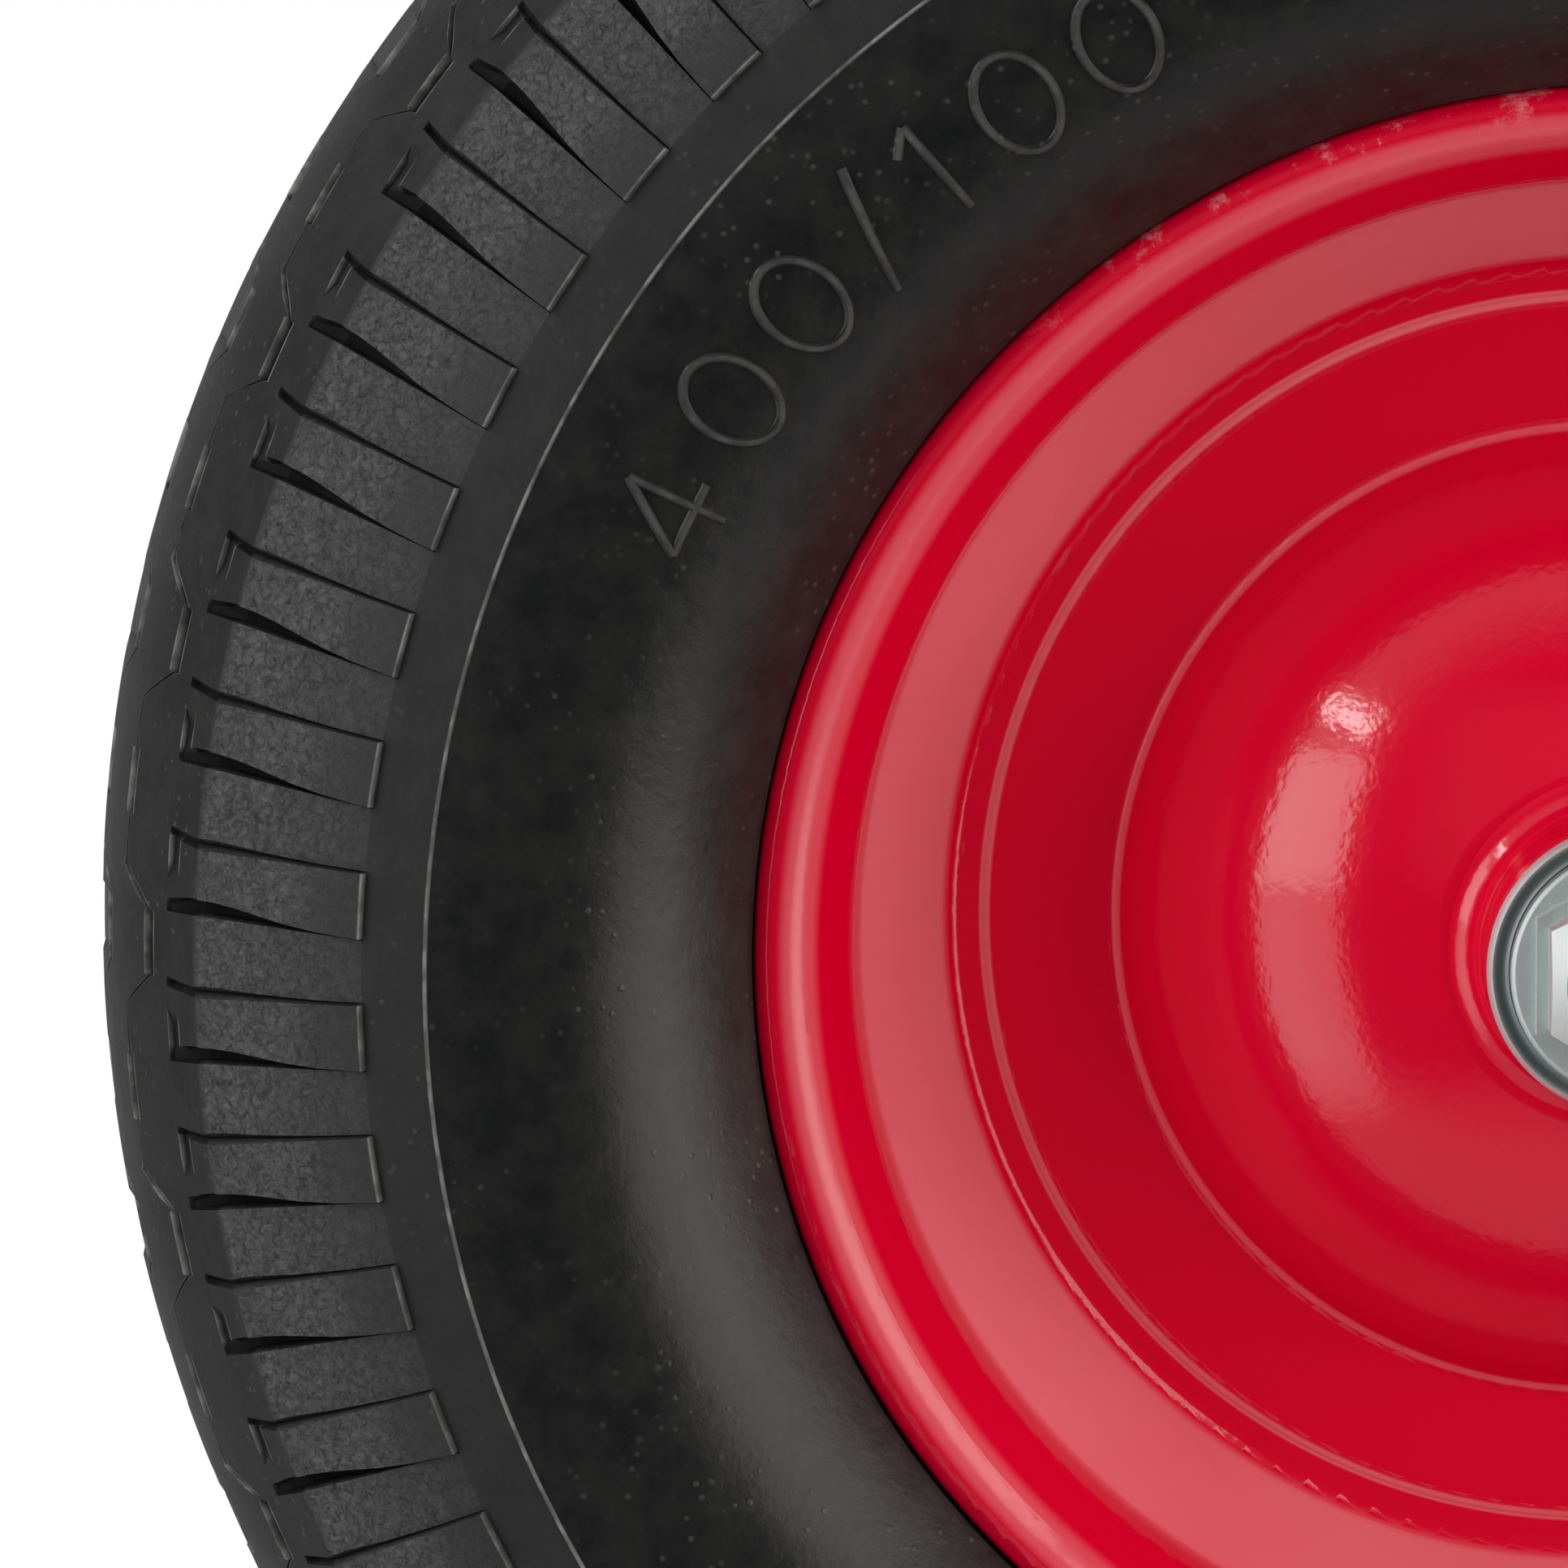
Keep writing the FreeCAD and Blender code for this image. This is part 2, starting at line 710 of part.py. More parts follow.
def raised_hexagon(bolt, name, flats, level, rise, slope):
    """A six-sided boss that stands on the bolt's flange."""
    sketch = new_sketch(bolt, name + "_profile", "XZ_Plane")
    sketch.setExpression("AttachmentOffset.Base.z", (level * -1).text)
    hexagon(sketch, flats)
    boss = bolt.newObject("PartDesign::Pad", name)
    boss.Profile = sketch
    boss.Reversed = True
    boss.TaperAngle = slope
    boss.setExpression("Length", rise.text)
    doc.recompute()
    return boss


def flange_bolt(name, front):
    """A bolt with a round flange, a six-sided collar and a bevelled six-sided head with a hollow top."""
    seat = stack_end
    collar = seat + washer_wall
    ledge = collar + base_rise
    top = ledge + head_rise
    bolt = turned(name, [
        (zero, seat - thread_length),
        (bolt_radius - shaft_chamfer, seat - thread_length),
        (bolt_radius, seat - thread_length + shaft_chamfer),
        (bolt_radius, seat),
        (washer_radius, seat),
        (washer_radius, collar),
        (zero, collar),
    ])
    raised_hexagon(bolt, name + "_collar", base_flats, collar - 0.5, base_rise + 0.5, 0)
    raised_hexagon(bolt, name + "_head", head_flats, ledge - 0.5, head_rise + 0.5, 0)
    reach = head_flats * 0.6
    sketch = new_sketch(bolt, name + "_bevel_profile", "XY_Plane")
    outline(sketch, [
        (head_flats * 0.5 - head_bevel * 0.7, top + 0.01),
        (head_flats * 0.5 - head_bevel * 0.7 + reach, top + 0.01 - reach * 0.9),
        (head_flats * 0.5 - head_bevel * 0.7 + reach, top + 1),
        (head_flats * 0.5 - head_bevel * 0.7, top + 1),
    ])
    bevel = bolt.newObject("PartDesign::Groove", name + "_bevel")
    bevel.Profile = sketch
    bevel.ReferenceAxis = (sketch, ["V_Axis"])
    bevel.Angle = 360
    doc.recompute()
    sketch = new_sketch(bolt, name + "_dish_profile", "XY_Plane")
    outline(sketch, [
        (zero, top - dish_depth),
        (dish_radius * 0.6, top - dish_depth),
        (dish_radius, top),
        (dish_radius, top + 1),
        (zero, top + 1),
    ])
    dish = bolt.newObject("PartDesign::Groove", name + "_dish")
    dish.Profile = sketch
    dish.ReferenceAxis = (sketch, ["V_Axis"])
    dish.Angle = 360
    doc.recompute()
    keep(name, bolt, front)


for ending, front in (("front", True), ("rear", False)):
    rim_half("rim_half_" + ending, front)
    hub_weld("hub_weld_" + ending, front)
    bearing_cup("bearing_cup_" + ending, front)
    bearing_cone("bearing_cone_" + ending, front)
    ball_cage("ball_cage_" + ending, front)
    balls("balls_" + ending, front)
    bearing_shield("bearing_shield_" + ending, front)
    flange_bolt("flange_bolt_" + ending, front)

doc.recompute()
for item in doc.Objects:
    if "Invalid" in item.State or "Error" in item.State:
        raise RuntimeError(item.Name + " failed: " + str(item.State))
for item in subparts:
    if item.Shape.isNull() or not item.Shape.isValid():
        raise RuntimeError(item.Label + " has no valid shape")
for item in subparts:
    item.Shape.exportStep("parts/" + item.Label + ".step")
    box = item.Shape.BoundBox
    print(item.Label, len(item.Shape.Solids), "solids", round(item.Shape.Volume), "mm3",
          [round(side, 1) for side in (box.XMin, box.XMax, box.YMin, box.YMax, box.ZMin, box.ZMax)])
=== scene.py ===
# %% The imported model
import math

import bpy
import numpy as np
from mathutils import Matrix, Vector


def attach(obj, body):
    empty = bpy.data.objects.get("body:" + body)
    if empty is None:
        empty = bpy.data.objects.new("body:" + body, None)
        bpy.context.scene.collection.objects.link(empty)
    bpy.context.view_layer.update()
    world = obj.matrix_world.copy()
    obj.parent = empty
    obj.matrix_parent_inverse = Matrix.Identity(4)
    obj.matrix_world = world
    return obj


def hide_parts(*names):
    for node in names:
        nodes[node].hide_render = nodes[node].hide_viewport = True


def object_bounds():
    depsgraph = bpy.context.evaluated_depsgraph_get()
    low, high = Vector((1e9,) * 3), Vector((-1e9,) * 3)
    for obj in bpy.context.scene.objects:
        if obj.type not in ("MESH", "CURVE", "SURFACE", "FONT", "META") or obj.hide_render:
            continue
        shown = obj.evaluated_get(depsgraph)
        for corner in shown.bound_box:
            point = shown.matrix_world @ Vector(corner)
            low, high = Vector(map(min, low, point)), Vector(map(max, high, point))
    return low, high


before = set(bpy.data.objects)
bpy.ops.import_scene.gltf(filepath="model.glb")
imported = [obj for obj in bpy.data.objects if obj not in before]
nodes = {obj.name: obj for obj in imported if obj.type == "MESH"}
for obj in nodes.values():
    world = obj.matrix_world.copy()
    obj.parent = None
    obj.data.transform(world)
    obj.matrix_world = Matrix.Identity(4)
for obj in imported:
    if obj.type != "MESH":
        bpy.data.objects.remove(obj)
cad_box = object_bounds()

print("nodes:", len(nodes), "box in mm:", [[round(v * 1000, 1) for v in corner] for corner in cad_box])

# %% [markdown]
# A wheelbarrow wheel is a foam tyre on a painted rim, turning on a plated axle. The pressed and turned
# metal comes from the CAD model as it is, so this lesson paints it. The tyre is worked out again as one
# grid of points, because the grid can follow its grooves and hold more of the moulding's small forms.
# Lengths are written in millimetres, as on a drawing, and MM turns them into Blender's metres.

# %% Small tools
MM = 0.001


def per_metre(size):
    """How many cells of a pattern lie in a metre when each is size millimetres wide: 1000 / size."""
    return 1000 / size


def linear(code):
    """An sRGB hex colour as linear RGBA: up to 0.04045 it is c / 12.92, above it
    ((c + 0.055) / 1.055) to the power 2.4."""
    parts = [int(code[i:i + 2], 16) / 255 for i in (1, 3, 5)]
    return tuple(c / 12.92 if c <= 0.04045 else ((c + 0.055) / 1.055) ** 2.4 for c in parts) + (1.0,)


def add(tree, kind, inputs=None, **settings):
    """Adds one node. settings are its properties; inputs gives each socket a value or another socket."""
    node = tree.nodes.new(kind)
    for name, value in settings.items():
        setattr(node, name, value)
    for socket, value in (inputs or {}).items():
        if isinstance(value, bpy.types.NodeSocket):
            tree.links.new(value, node.inputs[socket])
        else:
            node.inputs[socket].default_value = value
    return node


def set_stops(ramp, stops):
    """Gives a colour ramp its stops, each a place from 0 to 1 and a colour."""
    for place, colour in stops[1:-1]:
        ramp.color_ramp.elements.new(place).color = colour
    for element, (place, colour) in zip((ramp.color_ramp.elements[0], ramp.color_ramp.elements[-1]),
                                        (stops[0], stops[-1])):
        element.position, element.color = place, colour


def material(name):
    """A new material, its node tree and its shader."""
    made = bpy.data.materials.new(name)
    made.use_nodes = True
    return made, made.node_tree, made.node_tree.nodes["Principled BSDF"]


def paint(finish, *names):
    """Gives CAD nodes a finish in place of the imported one."""
    for name in names:
        data = nodes[name].data
        data.materials.clear()
        data.materials.append(finish)


# %% [markdown]
# The camera stands far away, a little to the left of the axle and above it, as for a catalogue picture. A
# far camera with a long lens keeps parallel edges parallel. Its place was found by fitting circles of the
# wheel to the picture, and no lens shift is needed.

# %% Camera
FRAME_WIDTH = 1932
camera_place = np.array([-0.3283, -3.8577, 0.6300])
camera_way = np.array([0.0558, 0.9861, -0.1566])
lens_pixels = 35926.0
lens_data = bpy.data.cameras.new("camera")
lens_data.sensor_width = 36.0
lens_data.lens = lens_data.sensor_width * lens_pixels / FRAME_WIDTH
lens_data.clip_end = 50.0
camera = bpy.data.objects.new("camera", lens_data)
bpy.context.scene.collection.objects.link(camera)
side = np.cross(camera_way, [0, 0, 1.0])
side /= np.linalg.norm(side)
above = np.cross(side, camera_way)
turn = np.array([side, above, -camera_way / np.linalg.norm(camera_way)]).T
matrix = np.eye(4)
matrix[:3, :3] = turn
matrix[:3, 3] = camera_place
camera.matrix_world = Matrix(matrix.tolist())
bpy.context.scene.camera = camera
print("lens in mm:", round(lens_data.lens, 1))

# %% [markdown]
# A product studio is a white tent with a darker opening where the camera looks in. Gloss paint shows that
# plainly: faces that look at the opening keep their deep red, and faces that look to the side turn pink.
# The world is that tent. Its colour depends on the direction only: white at the sides, dark towards the
# camera and behind the wheel, so that the tyre's crown doesn't mirror a white wall. Camera rays see white.

# %% World
TENT = 0.64
OPENING = 0.05
BEHIND = 0.25
world = bpy.data.worlds.new("tent")
bpy.context.scene.world = world
world.use_nodes = True
tree = world.node_tree
way = add(tree, "ShaderNodeTexCoord")
axes = add(tree, "ShaderNodeSeparateXYZ", {"Vector": way.outputs["Generated"]})
opening = add(tree, "ShaderNodeMapRange", {"Value": axes.outputs["Y"], "From Min": -0.7, "From Max": -0.4,
                                           "To Min": OPENING, "To Max": TENT},
              interpolation_type="SMOOTHSTEP")
behind = add(tree, "ShaderNodeMapRange", {"Value": axes.outputs["Y"], "From Min": -0.25, "From Max": 0.25,
                                          "To Min": TENT, "To Max": BEHIND}, interpolation_type="SMOOTHSTEP")
tent = add(tree, "ShaderNodeMath", {0: opening.outputs["Result"], 1: behind.outputs["Result"]},
           operation="MINIMUM")
rays = add(tree, "ShaderNodeLightPath")
seen = add(tree, "ShaderNodeMath", {0: tent.outputs[0], 1: rays.outputs["Is Camera Ray"]},
           operation="MAXIMUM")
tree.links.new(seen.outputs[0], tree.nodes["Background"].inputs["Strength"])
tree.nodes["Background"].inputs["Color"].default_value = (1, 1, 1, 1)
scene = bpy.context.scene
scene.view_settings.view_transform = "Standard"
print("tent:", TENT, "opening:", OPENING, "behind the wheel:", BEHIND)

# %% [markdown]
# Softboxes stand either side of the camera. The left one, weaker at its foot, draws the long soft light on
# the rim's dome, and a strip light above it the small bright bar. The right one gives the warm sheen down
# the inner part of the tyre's wall. Area lamps are used, because their edge and size show in gloss paint as
# a real softbox's do. The lamp in front lights everything evenly and leaves no image of itself, as a lamp
# and a camera with crossed polarisers do.

# %% Lamps
LAMP_DISTANCE = 1.7
FRONT_DISTANCE = 2.2


def lamp(name, azimuth, elevation, distance, width, height, radiance):
    """An area lamp that looks at the axle: its power is radiance times pi times its area. Angles are in
    degrees, azimuth from straight ahead to the right, and lengths in metres."""
    data = bpy.data.lights.new(name, "AREA")
    data.shape = "RECTANGLE"
    data.size = width
    data.size_y = height
    data.energy = radiance * math.pi * width * height
    made = bpy.data.objects.new(name, data)
    scene.collection.objects.link(made)
    a, e = math.radians(azimuth), math.radians(elevation)
    made.location = (math.sin(a) * math.cos(e) * distance, -math.cos(a) * math.cos(e) * distance,
                     math.sin(e) * distance)
    made.rotation_mode = "QUATERNION"
    made.rotation_quaternion = made.location.to_track_quat("Z", "Y")
    return made


lamp("left_softbox_top", -62, 12, LAMP_DISTANCE, 0.78, 0.75, 3.4)
lamp("left_softbox_foot", -62, -21, LAMP_DISTANCE, 0.78, 1.2, 1.4)
right_lamp = lamp("right_softbox", 62, 6, LAMP_DISTANCE, 1.5, 1.5, 2.7)
right_lamp.data.color = (1.0, 0.95, 0.90)
front_lamp = lamp("polarised_front_lamp", -14, 20, FRONT_DISTANCE, 1.4, 1.4, 2.85)
front_lamp.visible_glossy = False
lamp("strip_light", -80, 33, LAMP_DISTANCE, 1.6, 0.10, 15.0)

# %% [markdown]
# The wheel stands on a sheet of pale paper just below its lowest point.

# %% Floor
FLOOR_GAP = 0.0004
FADE_START = 0.24
FADE_END = 0.45
floor_level = cad_box[0][2] - FLOOR_GAP
floor_mesh = bpy.data.meshes.new("floor")
floor_half = 0.5
floor_mesh.from_pydata([(-floor_half, -floor_half, floor_level), (floor_half, -floor_half, floor_level),
                        (floor_half, floor_half, floor_level), (-floor_half, floor_half, floor_level)],
                       [], [(0, 1, 2, 3)])
floor = bpy.data.objects.new("floor", floor_mesh)
scene.collection.objects.link(floor)
floor_paper, tree, shader = material("white_paper")
shader.inputs["Base Color"].default_value = linear("#DADADA")
shader.inputs["Roughness"].default_value = 0.9
place = add(tree, "ShaderNodeTexCoord")
reach = add(tree, "ShaderNodeVectorMath", {0: place.outputs["Object"]}, operation="LENGTH")
fade = add(tree, "ShaderNodeMapRange", {"Value": reach.outputs["Value"], "From Min": FADE_START,
                                        "From Max": FADE_END, "To Min": 1.0, "To Max": 0.0},
           interpolation_type="SMOOTHSTEP")
tree.links.new(fade.outputs["Result"], shader.inputs["Alpha"])
floor_mesh.materials.append(floor_paper)
print("floor at:", round(floor_level * 1000, 1), "mm")

# %% [markdown]
# The tyre is polyurethane foam, moulded in one shot against a steel mould, so its skin copies the mould:
# smooth on the side wall, rough on the bars between the lugs. The shape is a profile carried round the
# axle. The profile is a curve given by its length s from the middle of the tread, and every point of the
# grid has three numbers: s, an angle, and a rise along the profile's normal.

# %% The tyre's profile
# Corners are (radius, distance from the wheel's middle plane), and the bead runs down to the rim.
CROWN_RADIUS = 201.5
CROWN_DROP = 6.3
CROWN_HALF = 26.0
SHOULDER = (190.8, 35.6)
FLANK_TOP = (189.7, 36.26)
BAND = (168.8, 50.2)
SEAM = (160.7, 53.4)
WALL = (127.0, 47.5)
WALL_BEND = 37.2
ARC_STEPS = 60
BEAD = [(117.6, 39.0), (116.4, 37.4), (116.4, 32.8), (109.6, 32.8), (104.8, 25.8), (103.4, 20.2)]


def arc(start, end, radius, steps):
    """Points on a circle's arc from start to end that bulges to the left of the way there."""
    start, end = np.array(start), np.array(end)
    chord = end - start
    length = np.hypot(*chord)
    left = np.array([-chord[1], chord[0]]) / length
    centre = (start + end) / 2 - left * math.sqrt(radius ** 2 - length ** 2 / 4)
    first = math.atan2(*(start - centre)[::-1])
    last = math.atan2(*(end - centre)[::-1])
    sweep = (last - first + math.pi) % (2 * math.pi) - math.pi
    angles = first + sweep * np.linspace(0, 1, steps)
    return centre + radius * np.stack([np.cos(angles), np.sin(angles)], 1)


crown_bend = (CROWN_HALF ** 2 + CROWN_DROP ** 2) / (2 * CROWN_DROP)
crown_y = np.linspace(0, CROWN_HALF, ARC_STEPS)
crown = np.stack([CROWN_RADIUS - crown_bend + np.sqrt(crown_bend ** 2 - crown_y ** 2), crown_y], 1)
wall = arc(WALL, SEAM, WALL_BEND, ARC_STEPS)[::-1]
profile = np.concatenate([crown, [SHOULDER, FLANK_TOP, BAND], wall, BEAD])
first_of_wall = len(crown) + 3
steps = np.hypot(*np.diff(profile, axis=0).T)
length = np.concatenate([[0], np.cumsum(steps)])
tangent = np.gradient(profile, length, axis=0)
normal = np.stack([-tangent[:, 1], tangent[:, 0]], 1)
normal *= -1 if normal[0, 0] < 0 else 1
normal /= np.hypot(*normal.T)[:, None]


def at(point):
    """The length s at which the profile passes a given point."""
    return length[np.argmin(np.hypot(*(profile - point).T))]


s_shoulder, s_flank, s_band, s_seam, s_wall = (at(p) for p in (SHOULDER, FLANK_TOP, BAND, SEAM, WALL))
print("lengths to shoulder, flank, band, seam, wall and end:",
      [round(float(v), 1) for v in (s_shoulder, s_flank, s_band, s_seam, s_wall, length[-1])])

# %% [markdown]
# The tread repeats every 12 degrees and has two lugs in each repeat. Instead of a fine square grid, the
# columns bend so that they run along the lugs' edges, and the rows bend so that they run along the zigzag
# grooves. Two lines of the grid, a fraction of a millimetre apart, then make a groove's wall crisp.

# %% The tread's columns
# LUG_HALF and SLOT_WALL are millimetres along the tread. TOOTH_TURN, LUG_PLACE and PHASE are degrees, and
# PHASE turns the whole tread to where the picture shows it.
TEETH = 30
TOOTH_TURN = 360 / TEETH
LUG_HALF = 4.5
LUG_PLACE = TOOTH_TURN / 4
SLOT_WALL = 0.12
PHASE = 11.84
# The crown's columns, in degrees from the middle of a tooth, one row of them for each of its two lugs.
crown_turns = np.array([
    [-6.0, -5.6, -5.1, -4.74, -4.68, -4.2, -3.6, -3.1, -2.7, -2.3, -1.8, -1.31, -1.25, -0.9, -0.6, -0.3],
    [0.0, 0.5, 0.9, 1.25, 1.31, 1.8, 2.3, 2.7, 3.1, 3.6, 4.2, 4.68, 4.74, 5.1, 5.4, 5.7],
])


def lug_columns(centre, radius, slot, groove):
    """Angles of one lug's 16 columns: its edges lie a fixed length either side of its middle, a slot is
    cut from the lug's far edge and a narrow groove lies before its near edge. All are arrays by row."""
    unit = np.degrees(1 / radius)
    near = centre - LUG_HALF * unit
    far = centre + LUG_HALF * unit
    first = centre - LUG_PLACE
    last = centre + LUG_PLACE
    keys = [first, first + (near - first) * 0.55, near - groove * unit, near - groove * unit * 0.45, near]
    lug_end = far - slot * unit
    keys += [near + (lug_end - near) * part for part in (0.12, 0.35, 0.65, 0.9)]
    keys += [lug_end, lug_end + SLOT_WALL * unit, far - SLOT_WALL * unit, far]
    keys += [far + (last - far) * part for part in (0.25, 0.5, 0.75)]
    return np.stack(keys, 1)


turns = crown_turns.reshape(-1)
columns = len(turns)
print("columns in a tooth:", columns, "round the tyre:", columns * TEETH)

# %% [markdown]
# Each row is named by where it lies. In the crown a row follows a zigzag line, which is far out at a tooth's
# tip and near the middle between teeth. On the flank, the band and the wall it stays at one length s. The
# moulding has pits at the tips, between the teeth and on one arm of each zigzag, and a fine line elsewhere.

# %% The crown's rows
# Millimetres from the tyre's middle, of each zigzag's tips and roots, then half the roots' widths. The tip's
# half length and the gap's start are degrees from the middle of a tooth.
OUTER_LINE, INNER_LINE, MIDDLE_LINE, MIDDLE_ROOT = 24.0, 16.4, 9.0, 1.6
OUTER_ROOT_HALF, MIDDLE_ROOT_HALF = 1.15, 2.3
TIP_HALF, GAP_START = 1.28, 4.71
EDGE_MARGIN = 0.25
# Depths and the lugs' height, in millimetres.
PIT_DEPTH = 1.8
ARM_DEPTH = 0.45
CENTRE_DISH = 0.9
SLOT_DEPTH = 3.0
LUG_RISE = 1.05
RIB_PIT_DEPTH = 0.9


def zigzag(turn, tip_line, root_line):
    """The zigzag's middle line: tip_line within 1.29 degrees of a tooth's tip, root_line past 2.7 degrees
    from it, and straight between."""
    return np.interp(np.abs(turn), [0, 1.29, 2.7, 6], [tip_line, tip_line, root_line, root_line])


def half_width(turn, root_half):
    """Half a groove's width: wide in the pits at the tips, on one slanting arm and between teeth."""
    return np.interp(turn, [-6, -4.73, -4.69, -3.1, -2.7, -1.8, -1.31, -1.25, 1.26, 1.30, 2.6, 4.69, 4.73, 6],
                     [root_half, root_half, 0.2, 0.2, 1.0, 1.0, 0.25, 1.15, 1.15, 0.3, 0.2, 0.2, root_half,
                      root_half])


def crown_rows(turn):
    """The crown's rows from the middle out, for columns at turn: places across the tread, depths, and how
    much of a raised edge and of a groove's floor each point has. Margin rows keep the pale edge line thin."""
    one = np.ones_like(turn)
    between_teeth = np.abs(turn) > GAP_START
    at_tip = np.abs(turn) < TIP_HALF
    in_pit = at_tip | between_teeth | ((turn > -2.75) & (turn < -1.75))
    places, depth, edge = [0 * one], [0], [0]
    for tip_line, root_line, root_half in ((MIDDLE_LINE, MIDDLE_ROOT, MIDDLE_ROOT_HALF),
                                           (OUTER_LINE, INNER_LINE, OUTER_ROOT_HALF)):
        line = zigzag(turn, tip_line, root_line)
        half = half_width(turn, root_half)
        if places[1:]:
            places.append((places[-1] + line - half) / 2)
            depth, edge = depth + [0], edge + [0]
        for side_edge, way in ((line - half, 1), (line + half, -1)):
            pair = [side_edge - EDGE_MARGIN * way, side_edge, side_edge + half * 0.28 * way]
            places += pair[::way]
            depth += [0, 0, 1][::way]
            edge += [0, 1, 0][::way]
    depths = np.outer(depth, np.where(in_pit, PIT_DEPTH, ARM_DEPTH))
    edges = np.outer(edge, np.where(in_pit, 1.0, 0.2))
    depths[:3, between_teeth] = PIT_DEPTH
    edges[:3, between_teeth] = 0
    deep = depths / PIT_DEPTH
    depths[0, at_tip] = CENTRE_DISH
    return np.maximum(np.stack(places), 0), depths, edges, deep


across, crown_depth, crown_edge, crown_deep = crown_rows(turns)
print("rows in half the crown:", len(across), "deepest pit in mm:", float(crown_depth.max()))

# %% [markdown]
# Outside the zigzags lies a row of notches, two in each tooth, then the shoulder, the flank with its lugs,
# the plain band, the raised seam, the side wall and the bead. Each gets only the rows that its shape needs.

# %% All rows and columns
rib_places = np.array([28.35, 28.6, 28.9, 31.0, 31.3, 31.55, 33.4, 35.6])
flank_places = np.array([0.0, 2.2, 5.0, 8.5, 13.0, 18.0, 22.5]) + s_flank
flank_places = flank_places[flank_places < s_band - 0.8]
tip_places = np.array([s_band - 0.6, s_band - 0.25, s_band + 0.05])
band_places = s_band + (s_seam - s_band) * np.array([0.3, 0.88])
seam_places = s_seam + np.array([-0.35, -0.12, 0.12, 0.35])
wall_places = s_seam + (s_wall - s_seam) * np.linspace(0, 1, 9)[1:]
bead_places = length[-len(BEAD):]
outer_places = np.concatenate([flank_places, tip_places, band_places, seam_places, wall_places, bead_places])

to_flank = slice(0, len(crown) + 2)
crown_s = np.interp(across, profile[to_flank, 1], length[to_flank])
rib_s = np.interp(rib_places, profile[to_flank, 1], length[to_flank])
s_rows = np.concatenate([crown_s, np.repeat(rib_s[:, None], columns, 1),
                         np.repeat(outer_places[:, None], columns, 1)])
row_count = len(s_rows)
first_rib = len(crown_s)
first_flank = first_rib + len(rib_s)
s_mean = s_rows.mean(1)
radius_rows = np.interp(s_mean, length, profile[:, 0])
from_tip = s_band - s_mean
slot_width = np.interp(from_tip, [0, 5, 10, 14, 18, 22, 26, 29, 31.2, 33.7],
                       [0.25, 0.3, 0.6, 1.1, 1.8, 2.3, 2.4, 2.0, 1.4, 0.5])
groove_width = np.interp(from_tip, [0, 8, 16, 24, 30], [0.3, 0.4, 0.8, 1.5, 1.3])
flank_turns = np.concatenate([lug_columns(np.full(row_count, centre), radius_rows, slot_width, groove_width)
                              for centre in (-LUG_PLACE, LUG_PLACE)], 1)
mix = np.zeros(row_count)
mix[first_rib:first_flank] = [0.54, 0.55, 0.57, 0.70, 0.72, 0.73, 0.86, 1.0]
mix[first_flank:] = 1.0
turn_rows = turns * (1 - mix[:, None]) + flank_turns * mix[:, None]
print("rows in half the profile:", row_count)

# %% [markdown]
# The rise says how far each point stands off the plain profile. The lugs stand proud and end in a square
# tip; the slot beside each lug deepens towards the crown; the mould's two halves leave a thin raised seam.
# A lug has 16 columns, and each mask says which of them are its top, its slot's floor or its groove's floor.

# %% The tread's rise
LUG_COLUMNS = columns // 2
SEAM_RISE = 0.3
lug_top = np.zeros(LUG_COLUMNS)
lug_top[4:10] = 1
slot_floor = np.zeros(LUG_COLUMNS)
slot_floor[10:12] = 1
groove_floor = np.zeros(LUG_COLUMNS)
groove_floor[3] = 1
lug_top, slot_floor, groove_floor = (np.tile(mask, 2) for mask in (lug_top, slot_floor, groove_floor))

on_flank = ((s_mean > s_shoulder + 0.1) & (s_mean < s_band - 0.1)).astype(float)
slot_rows = ((s_mean > rib_s[1] + 0.05) & (s_mean < s_band - 0.1)).astype(float)
slot_depth = np.interp(from_tip, [0, 6, 14, 22, 28, 31, 33.7],
                       [0.6, 1.4, SLOT_DEPTH, SLOT_DEPTH + 0.8, SLOT_DEPTH, 2.0, 0.6])
groove_depth = np.interp(from_tip, [0, 12, 24, 33], [0.25, 0.55, 0.9, 1.4])
rib_pit = np.zeros(columns)
rib_pit[4:7] = 1
rib_pit[LUG_COLUMNS + 7:LUG_COLUMNS + 10] = 1
rise = np.zeros((row_count, columns))
rise[:first_rib] -= crown_depth
rise += np.outer(on_flank, lug_top) * LUG_RISE
rise -= np.outer(slot_rows * slot_depth, slot_floor)
rise -= np.outer(slot_rows * groove_depth, groove_floor)
rise[first_rib + 2:first_rib + 4] -= rib_pit * RIB_PIT_DEPTH
seam_row = np.isclose(np.abs(s_mean - s_seam), 0.12, atol=0.02)
rise[seam_row] += SEAM_RISE
print("highest in mm:", round(float(rise.max()), 2), "deepest:", round(float(rise.min()), 2))

# %% [markdown]
# Three more numbers per point tell the material what the skin is like there: rough where the mould was
# sandblasted, edge on sharp corners and on the mould's seam, which are painted pale, on the corners as a
# painted highlight, and deep on the floors of slots, grooves and pits, which are painted dark as painted
# shade.

# %% The tread's marks
bar_grain = np.interp(from_tip, [0, 8, 20, 26], [0.2, 0.42, 0.85, 1.0])
lug_grain = np.interp(from_tip, [0, 7, 12, 20, 26], [0.08, 0.25, 0.85, 0.9, 0.6])
rough = np.outer(on_flank * bar_grain, 1 - lug_top) + np.outer(on_flank * lug_grain, lug_top)
rough *= 1 - np.maximum(slot_floor, groove_floor)
rough[(s_mean >= s_band - 0.1) & (s_mean < s_seam)] = 0.04
